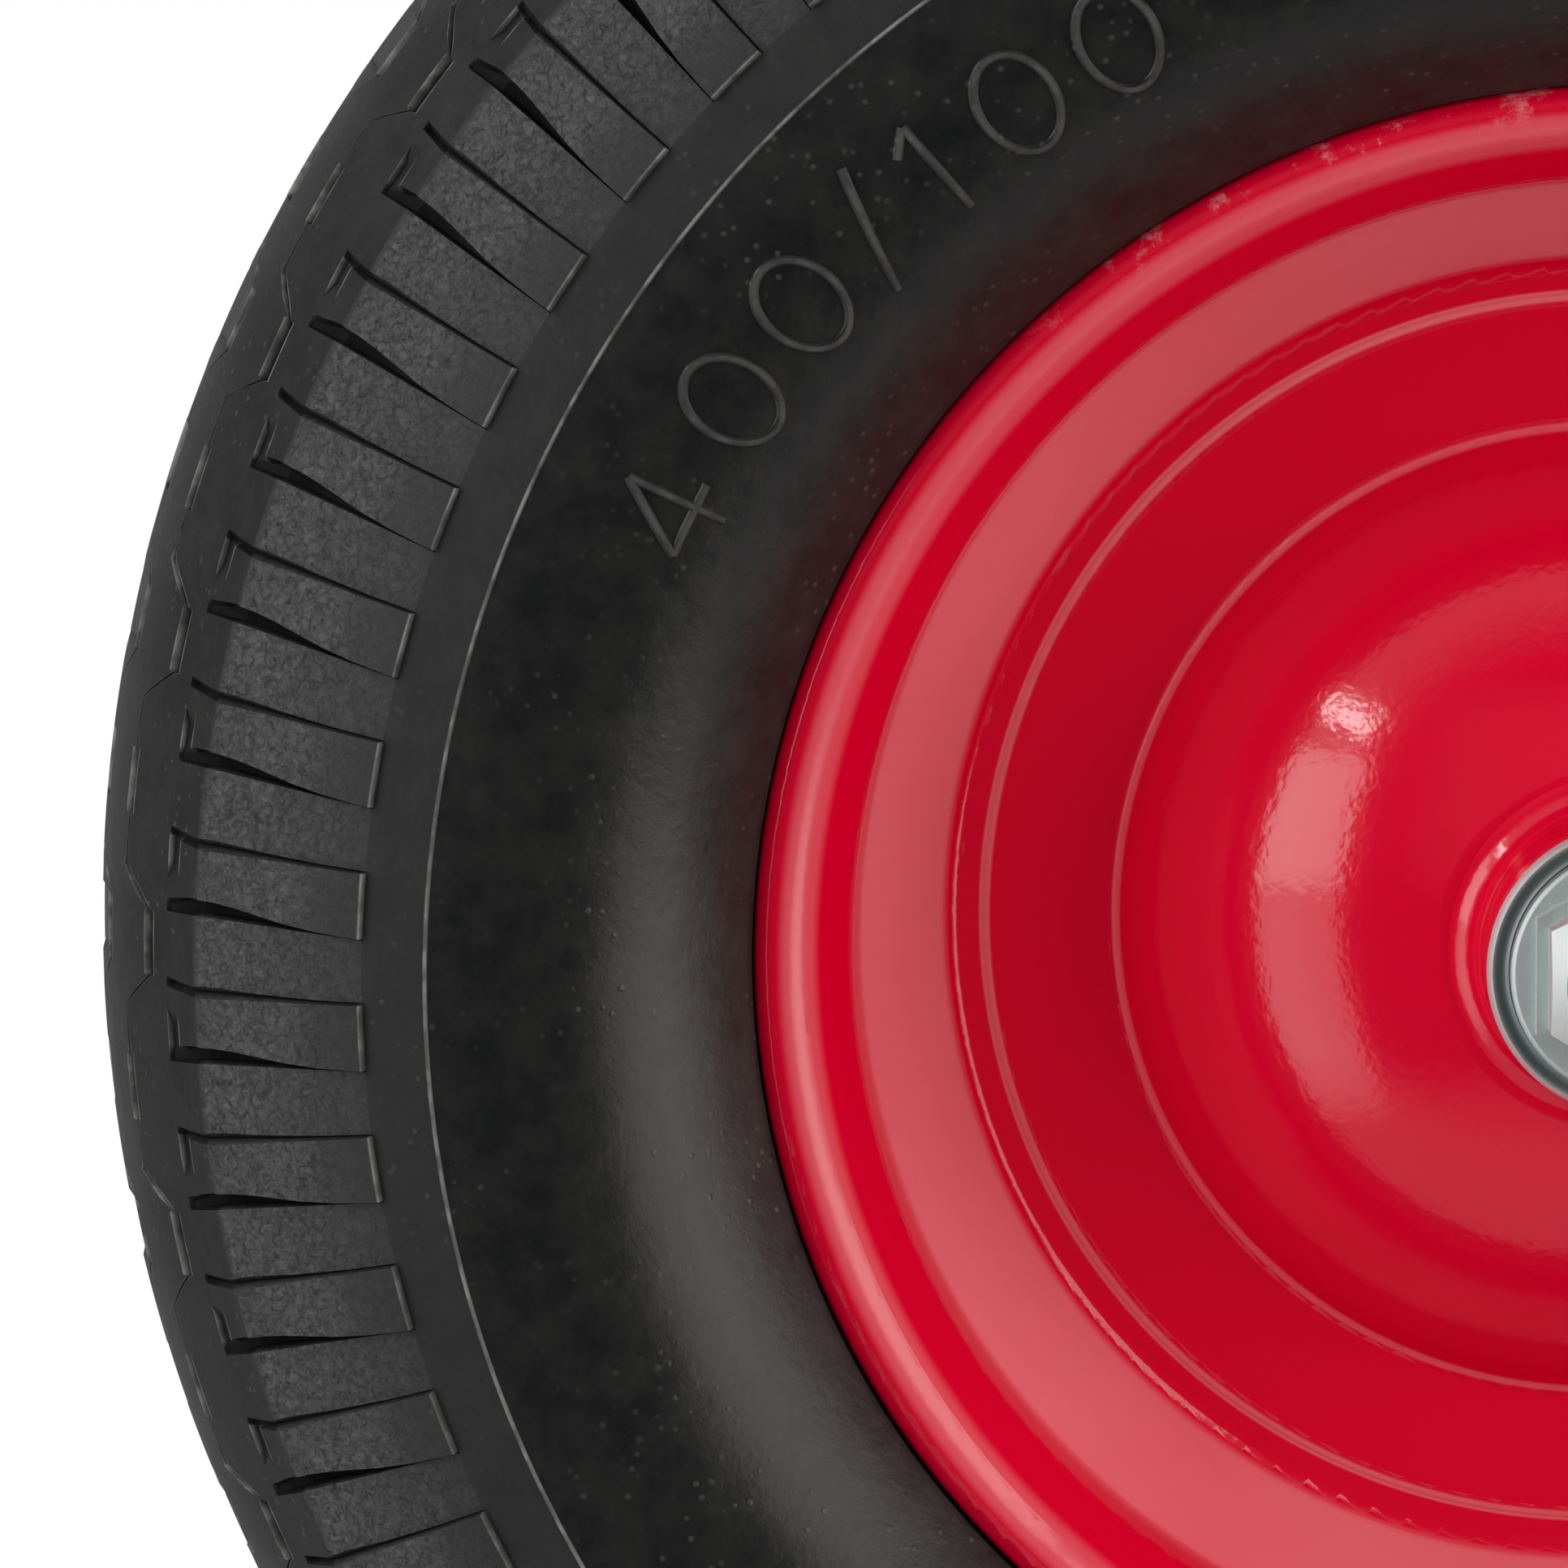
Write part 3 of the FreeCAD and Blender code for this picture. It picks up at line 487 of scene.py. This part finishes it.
# edge marks where the material paints a pale line: painted highlights on the corners of pits, notches and lug
# tips, and a pale line on the seam.
edge = np.zeros((row_count, columns))
edge[:first_rib] = crown_edge
edge[seam_row] = 0.7
tip_row = np.isclose(s_mean, s_band - 0.25)
edge[tip_row] = lug_top * 0.8
edge[[first_rib + 1, first_rib + 4]] = rib_pit * 0.8
# deep marks the floors of slots, grooves and pits, which the material paints dark as painted shade.
deep = np.outer(slot_rows * np.interp(from_tip, [0, 10, 22], [0.5, 0.8, 1.0]), slot_floor)
deep += np.outer(slot_rows * 0.7, groove_floor)
deep[:first_rib] = crown_deep
deep[first_rib + 2:first_rib + 4] += rib_pit * 0.5
print("marked points in a tooth:", {name: int((mark > 0).sum()) for name, mark in
                                    (("rough", rough), ("edge", edge), ("deep", deep))})

# %% [markdown]
# One tooth's numbers are copied round the axle and mirrored to the rear half, as a sheet of points that
# closes on itself both ways like the skin of a ring. Its faces join each point to its neighbours. A check of
# the volume's sign turns the faces outwards.

# %% Grids into meshes
def tyre_grid():
    """Every repeat of the tread, front half and mirrored rear half, as points (r cos a, y, r sin a)."""
    r = np.interp(s_rows, length, profile[:, 0]) + rise * np.interp(s_rows, length, normal[:, 0])
    y = np.interp(s_rows, length, profile[:, 1]) + rise * np.interp(s_rows, length, normal[:, 1])
    angle = np.concatenate([turn_rows + TOOTH_TURN * index for index in range(TEETH)], 1) + PHASE
    angle = np.radians(angle)
    r, y, *marks = (np.tile(field, (1, TEETH)) for field in (r, y, rough, edge, deep))
    half = np.stack([r * np.cos(angle), -y, r * np.sin(angle)], 2) * MM
    back = half[:0:-1] * [1, -1, 1]
    return np.concatenate([half, back]), [np.concatenate([mark, mark[:0:-1]]) for mark in marks]


def ring_mesh(name, points):
    """A mesh of four-sided faces between neighbouring points of a grid whose last row and column join the
    first ones."""
    count = points.shape[0] * points.shape[1]
    index = np.arange(count).reshape(points.shape[:2])
    down = np.roll(index, -1, 0)
    quads = np.stack([index, np.roll(index, -1, 1), np.roll(down, -1, 1), down], -1).reshape(-1, 4)
    mesh = bpy.data.meshes.new(name)
    mesh.vertices.add(count)
    mesh.vertices.foreach_set("co", points.reshape(-1).astype(np.float32))
    mesh.loops.add(quads.size)
    mesh.loops.foreach_set("vertex_index", quads.reshape(-1).astype(np.int32))
    mesh.polygons.add(len(quads))
    mesh.polygons.foreach_set("loop_start", np.arange(0, quads.size, 4, dtype=np.int32))
    mesh.update(calc_edges=True)
    mesh.validate()
    return mesh


def mark_points(mesh, **marks):
    """Stores one number per point under each name, for the material to read."""
    for name, values in marks.items():
        stored = mesh.attributes.new(name, "FLOAT", "POINT")
        stored.data.foreach_set("value", values.reshape(-1).astype(np.float32))


def piece(name, mesh, body, finish):
    """An object at the origin that rides on a CAD body."""
    made = bpy.data.objects.new(name, mesh)
    scene.collection.objects.link(made)
    mesh.materials.append(finish)
    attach(made, body)
    return made


def outward(mesh):
    """Turns all faces round if the volume they enclose, a sum of triple products, is negative."""
    corners = np.empty(len(mesh.vertices) * 3)
    mesh.vertices.foreach_get("co", corners)
    corners = corners.reshape(-1, 3)
    mesh.calc_loop_triangles()
    triangles = np.empty(len(mesh.loop_triangles) * 3, dtype=np.int32)
    mesh.loop_triangles.foreach_get("vertices", triangles)
    a, b, c = (corners[triangles.reshape(-1, 3)[:, i]] for i in range(3))
    volume = np.einsum("ij,ij->i", a, np.cross(b, c)).sum() / 6
    if volume < 0:
        mesh.flip_normals()
    return abs(volume)


# %% [markdown]
# Foam rubber is dark grey, never black, with a low sheen. Where the mould was sandblasted the skin is
# grainy, with millimetre-wide cracks, and looks paler; elsewhere small bubbles leave pale dots. The point
# attributes say how grainy each place is, where a corner or the seam is painted pale and where a floor is
# painted dark as painted shade, so that the pattern follows the moulding.

# %% Foam rubber: patterns
foam_rubber, tree, shader = material("moulded_polyurethane_foam")
place = add(tree, "ShaderNodeTexCoord")
grainy = add(tree, "ShaderNodeAttribute", attribute_name="rough")
grain = add(tree, "ShaderNodeTexNoise", {"Vector": place.outputs["Object"], "Scale": per_metre(1.053),
                                         "Detail": 5.0, "Roughness": 0.68, "Distortion": 1.0})
patches = add(tree, "ShaderNodeTexNoise", {"Vector": place.outputs["Object"], "Scale": per_metre(22.2),
                                           "Detail": 3.0})
smudge = add(tree, "ShaderNodeTexNoise", {"Vector": place.outputs["Object"], "Scale": per_metre(5.88),
                                          "Detail": 5.0, "Roughness": 0.65})
dots = add(tree, "ShaderNodeTexVoronoi", {"Vector": place.outputs["Object"], "Scale": per_metre(2.38)})
dot = add(tree, "ShaderNodeMapRange", {"Value": dots.outputs["Distance"], "From Min": 0.10, "From Max": 0.22,
                                       "To Min": 1.0, "To Max": 0.0})
scarce = add(tree, "ShaderNodeMapRange", {"Value": patches.outputs["Fac"], "From Min": 0.42,
                                          "From Max": 0.62})
dot_here = add(tree, "ShaderNodeMath", {0: dot.outputs["Result"], 1: scarce.outputs["Result"]},
               operation="MULTIPLY")
print("patterns of the foam:", [node.name for node in (grain, patches, smudge, dots)])

# %% [markdown]
# The colour goes from the smooth skin to the grainy one, then takes the dots, the pale broken edges, which
# are painted highlights on the corners and a pale line on the seam, and the floors of slots, grooves and
# pits, painted dark as painted shade, on top.

# %% Foam rubber: colour
skin = add(tree, "ShaderNodeValToRGB", {"Fac": smudge.outputs["Fac"]})
set_stops(skin, [(0.30, linear("#141516")), (0.72, linear("#222221"))])
rough_skin = add(tree, "ShaderNodeValToRGB", {"Fac": grain.outputs["Fac"]})
set_stops(rough_skin, [(0.30, linear("#1C1C1C")), (0.75, linear("#666666"))])
two_skins = add(tree, "ShaderNodeMix", {"Factor": grainy.outputs["Fac"], "A": skin.outputs["Color"],
                                        "B": rough_skin.outputs["Color"]}, data_type="RGBA")
dotted = add(tree, "ShaderNodeMix", {"Factor": dot_here.outputs[0], "A": two_skins.outputs[2],
                                     "B": linear("#363634")}, data_type="RGBA")
# Painted highlight: the pale #8E8E8C on sharp corners stands for light caught by their edges, broken up by
# noise. On the seam it is a pale line.
edges = add(tree, "ShaderNodeAttribute", attribute_name="edge")
broken = add(tree, "ShaderNodeTexNoise", {"Vector": place.outputs["Object"], "Scale": per_metre(3.85),
                                          "Detail": 4.0})
whole = add(tree, "ShaderNodeMapRange", {"Value": broken.outputs["Fac"], "From Min": 0.42, "From Max": 0.62,
                                         "To Min": 0.35, "To Max": 1.0})
pale = add(tree, "ShaderNodeMath", {0: edges.outputs["Fac"], 1: whole.outputs["Result"]},
           operation="MULTIPLY")
skin_colour = add(tree, "ShaderNodeMix", {"Factor": pale.outputs[0], "A": dotted.outputs[2],
                                          "B": linear("#8E8E8C")}, data_type="RGBA")
# Painted shade: the floors of slots, grooves and pits are darkened towards #060606.
recess_shade = add(tree, "ShaderNodeAttribute", attribute_name="deep")
shaded = add(tree, "ShaderNodeMix", {"Factor": recess_shade.outputs["Fac"], "A": skin_colour.outputs[2],
                                     "B": linear("#060606")}, data_type="RGBA")
tree.links.new(shaded.outputs[2], shader.inputs["Base Color"])
print("foam's nodes with its colour:", len(tree.nodes))

# %% [markdown]
# Moulded skin is duller where it is grainy and on the floors of slots, grooves and pits. The specular level
# stays low, because foam rubber mirrors less than a hard plastic with the same index. One bump carries the
# grain and the dots.

# %% Foam rubber: surface
gloss = add(tree, "ShaderNodeMapRange", {"Value": smudge.outputs["Fac"], "From Min": 0.3, "From Max": 0.75,
                                         "To Min": 0.27, "To Max": 0.38})
matt = add(tree, "ShaderNodeMapRange", {"Value": grainy.outputs["Fac"], "From Max": 0.04, "To Max": 0.30})
rough_gloss = add(tree, "ShaderNodeMath", {0: gloss.outputs["Result"], 1: matt.outputs["Result"]},
                  operation="ADD")
duller_in_recesses = add(tree, "ShaderNodeMath", {0: recess_shade.outputs["Fac"], 1: 0.5, 2: rough_gloss.outputs[0]},
            operation="MULTIPLY_ADD")
tree.links.new(duller_in_recesses.outputs[0], shader.inputs["Roughness"])
shader.inputs["IOR"].default_value = 1.5
shader.inputs["Specular IOR Level"].default_value = 0.3
fine = add(tree, "ShaderNodeMath", {0: smudge.outputs["Fac"], 1: 0.25}, operation="MULTIPLY")
relief = add(tree, "ShaderNodeMix", {"Factor": grainy.outputs["Fac"], "A": fine.outputs[0],
                                     "B": grain.outputs["Fac"]})
raised = add(tree, "ShaderNodeMath", {0: dot_here.outputs[0], 1: 0.08, 2: relief.outputs["Result"]},
             operation="MULTIPLY_ADD")
bumps = add(tree, "ShaderNodeBump", {"Height": raised.outputs[0], "Strength": 1.0, "Distance": 0.0006})
tree.links.new(bumps.outputs["Normal"], shader.inputs["Normal"])
print("foam's nodes in all:", len(tree.nodes))

# %% [markdown]
# The tyre's faces are smooth except where two of them meet at more than 32 degrees, which keeps the lugs' and
# pits' edges sharp. The piece rides on the wheel's body and takes the place of the CAD model's tyre.

# %% Tyre
tyre_points, (tyre_rough, tyre_edge, tyre_deep) = tyre_grid()
tyre_mesh = ring_mesh("foam_tyre", tyre_points)
volume = outward(tyre_mesh)
mark_points(tyre_mesh, rough=tyre_rough, edge=tyre_edge, deep=tyre_deep)
tyre_mesh.shade_smooth()
tyre_mesh.set_sharp_from_angle(angle=math.radians(32))
foam_tyre = piece("foam_tyre", tyre_mesh, "wheel", foam_rubber)
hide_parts("tyre")
print("tyre faces:", len(tyre_mesh.polygons), "litres:", round(volume * 1000, 3))

# %% [markdown]
# The moulder's size number is a set of low ridges on the side wall. Each stroke is a line of points in the
# digit's own plane, 14.3 mm high. A ridge follows it, and the plane is wrapped round the wall: sideways
# becomes an angle and upwards becomes a radius.

# %% Raised digits
DIGIT_RADIUS = 142.6
DIGIT_HALF = 7.15
RIDGE = np.array([[-0.8, -0.25], [-0.5, 0.36], [-0.2, 0.44], [0.2, 0.44], [0.5, 0.36], [0.8, -0.25]])
bow = np.radians(np.linspace(0, 360, 41)[:-1])
strokes = {
    "0": [(5.2 * np.sin(bow), DIGIT_HALF * np.cos(bow))],
    "1": [([0.6, 0.6], [DIGIT_HALF, -DIGIT_HALF]), ([-2.6, 0.6], [4.3, DIGIT_HALF])],
    "4": [([1.9, 1.9], [DIGIT_HALF, -DIGIT_HALF]), ([1.9, -5.2], [DIGIT_HALF, -2.9]),
          ([-5.2, 5.4], [-2.9, -2.9])],
    "/": [([-3.2, 3.2], [-8.6, 8.6])],
}
digit_places = [("4", 154.0), ("0", 147.2), ("0", 140.9), ("/", 135.6), ("1", 130.9), ("0", 125.2),
                ("0", 118.9)]


def wrapped(u, v, height, middle):
    """A point of a digit's plane on the side wall: angle = middle - u / radius, radius = 142.6 + v, then
    height along the wall's normal."""
    r = DIGIT_RADIUS + v
    order = slice(None, None, -1)
    own = slice(first_of_wall, first_of_wall + len(wall))
    y = np.interp(r, wall[order, 0], wall[order, 1])
    lean, face = (np.interp(r, wall[order, 0], normal[own][order, i]) for i in (0, 1))
    angle = math.radians(middle) - u / DIGIT_RADIUS
    r = r + height * lean
    return np.stack([r * np.cos(angle), -(y + height * face), r * np.sin(angle)], -1) * MM


def ridge(u, v, middle):
    """Points and faces of one ridge: rings of the section RIDGE, set square to the stroke, with closed
    ends."""
    loop = len(u) > 2
    count = len(u) if loop else 24
    t = np.linspace(0, len(u) - 1, count)
    u, v = np.interp(t, range(len(u)), u), np.interp(t, range(len(v)), v)
    if loop:
        along = np.stack([np.roll(u, -1) - np.roll(u, 1), np.roll(v, -1) - np.roll(v, 1)], 1)
    else:
        along = np.stack([np.gradient(u), np.gradient(v)], 1)
    along /= np.hypot(*along.T)[:, None]
    wide, high = RIDGE.T
    points = wrapped(u[:, None] - along[:, 1:] * wide, v[:, None] + along[:, :1] * wide,
                     np.broadcast_to(high, (count, len(RIDGE))), middle)
    index = np.arange(count * len(RIDGE)).reshape(count, len(RIDGE))
    down = np.roll(index, -1, 0) if loop else index[1:]
    index = index if loop else index[:-1]
    faces = np.stack([index, np.roll(index, -1, 1), np.roll(down, -1, 1), down], -1).reshape(-1, 4).tolist()
    if not loop:
        faces += [index[0, ::-1].tolist(), down[-1].tolist()]
    return points.reshape(-1, 3), faces


digit_points, digit_faces = [], []
for digit, middle in digit_places:
    for u, v in strokes[digit]:
        points, faces = ridge(u, v, middle)
        offset = sum(len(part) for part in digit_points)
        digit_faces += [[corner + offset for corner in face] for face in faces]
        digit_points.append(points)
digit_points = np.concatenate(digit_points)
digit_mesh = bpy.data.meshes.new("size_digits")
digit_mesh.from_pydata(digit_points.tolist(), [], digit_faces)
digit_mesh.update()
outward(digit_mesh)
ridge_tops = np.tile((RIDGE[:, 1] > 0.4).astype(float), len(digit_points) // len(RIDGE))
# The ridges' tops take a little of the painted edge highlight.
mark_points(digit_mesh, rough=ridge_tops * 0.15, edge=ridge_tops * 0.15)
digit_mesh.shade_smooth()
digit_mesh.set_sharp_from_angle(angle=math.radians(50))
piece("size_digits", digit_mesh, "wheel", foam_rubber)
print("digits:", len(digit_places), "faces:", len(digit_mesh.polygons))

# %% [markdown]
# The rim is pressed steel under a thick red gloss enamel. Its faces carry the shallow ripple of sprayed
# paint, called orange peel, about a millimetre across, and its outer lip is dulled by handling. On the
# slope between the lip and the flat plate, on the rolled lip and thinly where the sheet bends, the coat is
# hazy, and its colour there is a painted pink: a painted reflection of the white tent on the slope and the
# rolled lip, and painted highlights on the thin rings.

# %% Red enamel: wear
SCUFF_LOW, SCUFF_HIGH = 75, 98
LIP_IN, LIP_OUT = 111, 114
red_enamel, tree, shader = material("sprayed_red_enamel")
place = add(tree, "ShaderNodeTexCoord")
axes = add(tree, "ShaderNodeSeparateXYZ", {"Vector": place.outputs["Object"]})
flat = add(tree, "ShaderNodeCombineXYZ", {"X": axes.outputs["X"], "Z": axes.outputs["Z"]})
reach = add(tree, "ShaderNodeVectorMath", {0: flat.outputs["Vector"]}, operation="LENGTH")
peel = add(tree, "ShaderNodeTexNoise", {"Vector": place.outputs["Object"], "Scale": per_metre(1.43),
                                        "Detail": 2.0})
scuffs = add(tree, "ShaderNodeTexNoise", {"Vector": place.outputs["Object"], "Scale": per_metre(6.25),
                                          "Detail": 8.0, "Roughness": 0.75})
streaks = add(tree, "ShaderNodeMapRange", {"Value": scuffs.outputs["Fac"], "From Min": 0.54,
                                           "From Max": 0.68})
scuffed_top = add(tree, "ShaderNodeMapRange", {"Value": axes.outputs["Z"], "From Min": SCUFF_LOW * MM,
                                               "From Max": SCUFF_HIGH * MM}, interpolation_type="SMOOTHSTEP")
near_lip = add(tree, "ShaderNodeMapRange", {"Value": reach.outputs["Value"], "From Min": LIP_IN * MM,
                                            "From Max": LIP_OUT * MM}, interpolation_type="SMOOTHSTEP")
worn = add(tree, "ShaderNodeMath", {0: streaks.outputs["Result"], 1: near_lip.outputs["Result"]},
           operation="MULTIPLY")
worn = add(tree, "ShaderNodeMath", {0: worn.outputs[0], 1: scuffed_top.outputs["Result"]},
           operation="MULTIPLY")
handled = add(tree, "ShaderNodeMix", {"Factor": worn.outputs[0], "A": linear("#D4002C"),
                                      "B": linear("#DE7680")}, data_type="RGBA")
print("lip worn outside radius:", LIP_IN, "mm")

# %% [markdown]
# The haze and the painted pink reflection come in rings round the axle. Each ring is the product of a step
# that rises at its inner radius and one that falls at its outer radius, and the strongest ring counts.

# %% Red enamel: haze and painted reflection
# Inner radius, outer radius and width of the soft edge in millimetres, and strength.
HAZE_AND_REFLECTION_RINGS = [(88.0, 101.9, 1.4, 1.0), (107.0, 113.4, 1.6, 0.55), (82.3, 84.1, 0.5, 0.95),
              (64.9, 66.3, 0.4, 0.6)]
cloud = add(tree, "ShaderNodeTexNoise", {"Vector": place.outputs["Object"], "Scale": per_metre(45.5),
                                         "Detail": 2.0})
cloudy = add(tree, "ShaderNodeMapRange", {"Value": cloud.outputs["Fac"], "From Min": 0.3, "From Max": 0.7,
                                          "To Min": 0.8, "To Max": 1.0})
strongest = 0.0
for inner, outer, soft, strength in HAZE_AND_REFLECTION_RINGS:
    rise_in = add(tree, "ShaderNodeMapRange", {"Value": reach.outputs["Value"],
                                               "From Min": inner * MM, "From Max": (inner + soft) * MM,
                                               "To Max": strength}, interpolation_type="SMOOTHSTEP")
    fall_out = add(tree, "ShaderNodeMapRange", {"Value": reach.outputs["Value"],
                                                "From Min": (outer - soft) * MM, "From Max": outer * MM,
                                                "To Min": 1.0, "To Max": 0.0},
                   interpolation_type="SMOOTHSTEP")
    ring = add(tree, "ShaderNodeMath", {0: rise_in.outputs["Result"], 1: fall_out.outputs["Result"]},
               operation="MULTIPLY")
    stronger = add(tree, "ShaderNodeMath", {0: strongest, 1: ring.outputs[0]}, operation="MAXIMUM")
    strongest = stronger.outputs[0]
# The strongest ring sets both the haze's roughness and the painted pink: a painted reflection of the white
# tent on the slope and the rolled lip, and painted highlights on the thin rings at the crease and the dome's
# foot.
haze_and_painted_reflection = add(tree, "ShaderNodeMath", {0: strongest, 1: cloudy.outputs["Result"]}, operation="MULTIPLY")
colour = add(tree, "ShaderNodeMix", {"Factor": haze_and_painted_reflection.outputs[0], "A": handled.outputs[2],
                                     "B": linear("#E46C78")}, data_type="RGBA")
tree.links.new(colour.outputs[2], shader.inputs["Base Color"])
print("haze rings:", len(HAZE_AND_REFLECTION_RINGS))

# %% [markdown]
# Clean enamel mirrors the lamps sharply. Haze and scuffs spread the mirror image, and a very shallow bump
# gives the orange peel.

# %% Red enamel: surface
CLEAN_ROUGHNESS = 0.13
HAZE_ROUGHNESS = 0.25
SCUFF_ROUGHNESS = 0.35
hazy = add(tree, "ShaderNodeMath", {0: haze_and_painted_reflection.outputs[0], 1: HAZE_ROUGHNESS, 2: CLEAN_ROUGHNESS},
           operation="MULTIPLY_ADD")
dull = add(tree, "ShaderNodeMath", {0: worn.outputs[0], 1: SCUFF_ROUGHNESS, 2: hazy.outputs[0]},
           operation="MULTIPLY_ADD")
tree.links.new(dull.outputs[0], shader.inputs["Roughness"])
shader.inputs["IOR"].default_value = 1.52
peel_bump = add(tree, "ShaderNodeBump", {"Height": peel.outputs["Fac"], "Strength": 1.0,
                                         "Distance": 0.00004})
tree.links.new(peel_bump.outputs["Normal"], shader.inputs["Normal"])
paint(red_enamel, "rim_half_front", "rim_half_rear", "hub_tube", "hub_weld_front", "hub_weld_rear")
print("enamel's nodes:", len(tree.nodes))

# %% [markdown]
# The bolts and the bearings' cups are zinc plated: a bluish grey metal with a soft shine, a little uneven
# because the bath leaves fine crystals. The bolt's face and the cup's lip are painted bright, with painted
# highlights on the bolt flange's edge and on the lip, and the hollow between them is painted darker as
# painted shade. Both follow the distance from the axle.

# %% Zinc plating
BANDS_IN, BANDS_OUT = 14, 20
bright_zinc, tree, shader = material("bright_zinc_plating")
place = add(tree, "ShaderNodeTexCoord")
crystals = add(tree, "ShaderNodeTexNoise", {"Vector": place.outputs["Object"], "Scale": per_metre(1.11),
                                            "Detail": 6.0, "Roughness": 0.7})
tone = add(tree, "ShaderNodeMix", {"Factor": crystals.outputs["Fac"], "A": linear("#D6DCDC"),
                                   "B": linear("#F0F2F2")}, data_type="RGBA")
axes = add(tree, "ShaderNodeSeparateXYZ", {"Vector": place.outputs["Object"]})
flat = add(tree, "ShaderNodeCombineXYZ", {"X": axes.outputs["X"], "Z": axes.outputs["Z"]})
reach = add(tree, "ShaderNodeVectorMath", {0: flat.outputs["Vector"]}, operation="LENGTH")
across_flange = add(tree, "ShaderNodeMapRange", {"Value": reach.outputs["Value"], "From Min": BANDS_IN * MM,
                                                 "From Max": BANDS_OUT * MM})
# Painted highlights and shade: white rings at the bolt flange's edge and the cup's lip stand for caught
# light, and the grey band between them for the hollow's shade.
bands = add(tree, "ShaderNodeValToRGB", {"Fac": across_flange.outputs["Result"]})
bands.color_ramp.interpolation = "B_SPLINE"
set_stops(bands, [(0.0, linear("#F2F8F6")), (0.30, linear("#F2F8F6")), (0.42, linear("#FFFFFF")),
                  (0.50, linear("#8E9896")), (0.74, linear("#98A2A0")), (0.84, linear("#FFFFFF")),
                  (1.0, linear("#F4F6F6"))])
shade = add(tree, "ShaderNodeMix", {"Factor": 1.0, "A": tone.outputs[2], "B": bands.outputs["Color"]},
            data_type="RGBA", blend_type="MULTIPLY")
tree.links.new(shade.outputs[2], shader.inputs["Base Color"])
section = add(tree, "ShaderNodeValToRGB", {"Fac": across_flange.outputs["Result"]})
section.color_ramp.interpolation = "B_SPLINE"
heights = [(0.0, 1.0), (0.36, 1.0), (0.46, 0.6), (0.55, 0.1), (0.68, 0.1), (0.86, 1.0), (1.0, 0.6)]
set_stops(section, [(place, (height, height, height, 1.0)) for place, height in heights])
shader.inputs["Metallic"].default_value = 1.0
spread = add(tree, "ShaderNodeMapRange", {"Value": crystals.outputs["Fac"], "To Min": 0.56, "To Max": 0.72})
tree.links.new(spread.outputs["Result"], shader.inputs["Roughness"])
rolled = add(tree, "ShaderNodeBump", {"Height": section.outputs["Color"], "Strength": 1.0,
                                      "Distance": 0.0012})
dents = add(tree, "ShaderNodeBump", {"Height": crystals.outputs["Fac"], "Strength": 1.0,
                                     "Distance": 0.00002, "Normal": rolled.outputs["Normal"]})
tree.links.new(dents.outputs["Normal"], shader.inputs["Normal"])
paint(bright_zinc, "bearing_cup_front", "bearing_cup_rear", "flange_bolt_front", "flange_bolt_rear",
      "bearing_shield_front", "bearing_shield_rear")
print("zinc's nodes:", len(tree.nodes))

# %% [markdown]
# Inside, the races and balls are hardened bearing steel, ground bright, the cages are pressed from plain
# sheet, and the shaft and its sleeve are turned bar with fine rings left by the tool.

# %% Bearing steel
ground_steel, tree, shader = material("ground_bearing_steel")
place = add(tree, "ShaderNodeTexCoord")
rubbed = add(tree, "ShaderNodeTexNoise", {"Vector": place.outputs["Object"], "Scale": per_metre(0.667),
                                          "Detail": 3.0})
tone = add(tree, "ShaderNodeMix", {"Factor": rubbed.outputs["Fac"], "A": linear("#8C8D8E"),
                                   "B": linear("#B9BABB")}, data_type="RGBA")
tree.links.new(tone.outputs[2], shader.inputs["Base Color"])
shader.inputs["Metallic"].default_value = 1.0
shader.inputs["Roughness"].default_value = 0.18
paint(ground_steel, "bearing_cone_front", "bearing_cone_rear", "balls_front", "balls_rear")
print("ground:", [name for name in nodes if "cone" in name or "balls" in name])

# %% [markdown]
# The rings of turned bar run round the axle, so the bands follow each other along it, in Y, at the tool's
# feed. Blender's wave repeats 20 / (2 pi) times in a unit of its scale, so the feed is turned round by that.

# %% Turned bar
TOOL_FEED = 0.2618
WAVE_TURN = 2 * math.pi / 20
turned_steel, tree, shader = material("turned_mild_steel")
place = add(tree, "ShaderNodeTexCoord")
rings = add(tree, "ShaderNodeTexWave", {"Vector": place.outputs["Object"], "Distortion": 0.6, "Detail": 2.0,
                                        "Scale": WAVE_TURN * per_metre(TOOL_FEED)}, bands_direction="Y")
tone = add(tree, "ShaderNodeMix", {"Factor": rings.outputs["Fac"], "A": linear("#7C7D7E"),
                                   "B": linear("#9A9B9C")}, data_type="RGBA")
tree.links.new(tone.outputs[2], shader.inputs["Base Color"])
shader.inputs["Metallic"].default_value = 1.0
shader.inputs["Roughness"].default_value = 0.32
cuts = add(tree, "ShaderNodeBump", {"Height": rings.outputs["Fac"], "Strength": 1.0, "Distance": 0.00001})
tree.links.new(cuts.outputs["Normal"], shader.inputs["Normal"])
paint(turned_steel, "axle_shaft", "spacer_sleeve", "ball_cage_front", "ball_cage_rear")
print("materials:", sorted(made.name for made in bpy.data.materials if made.users))
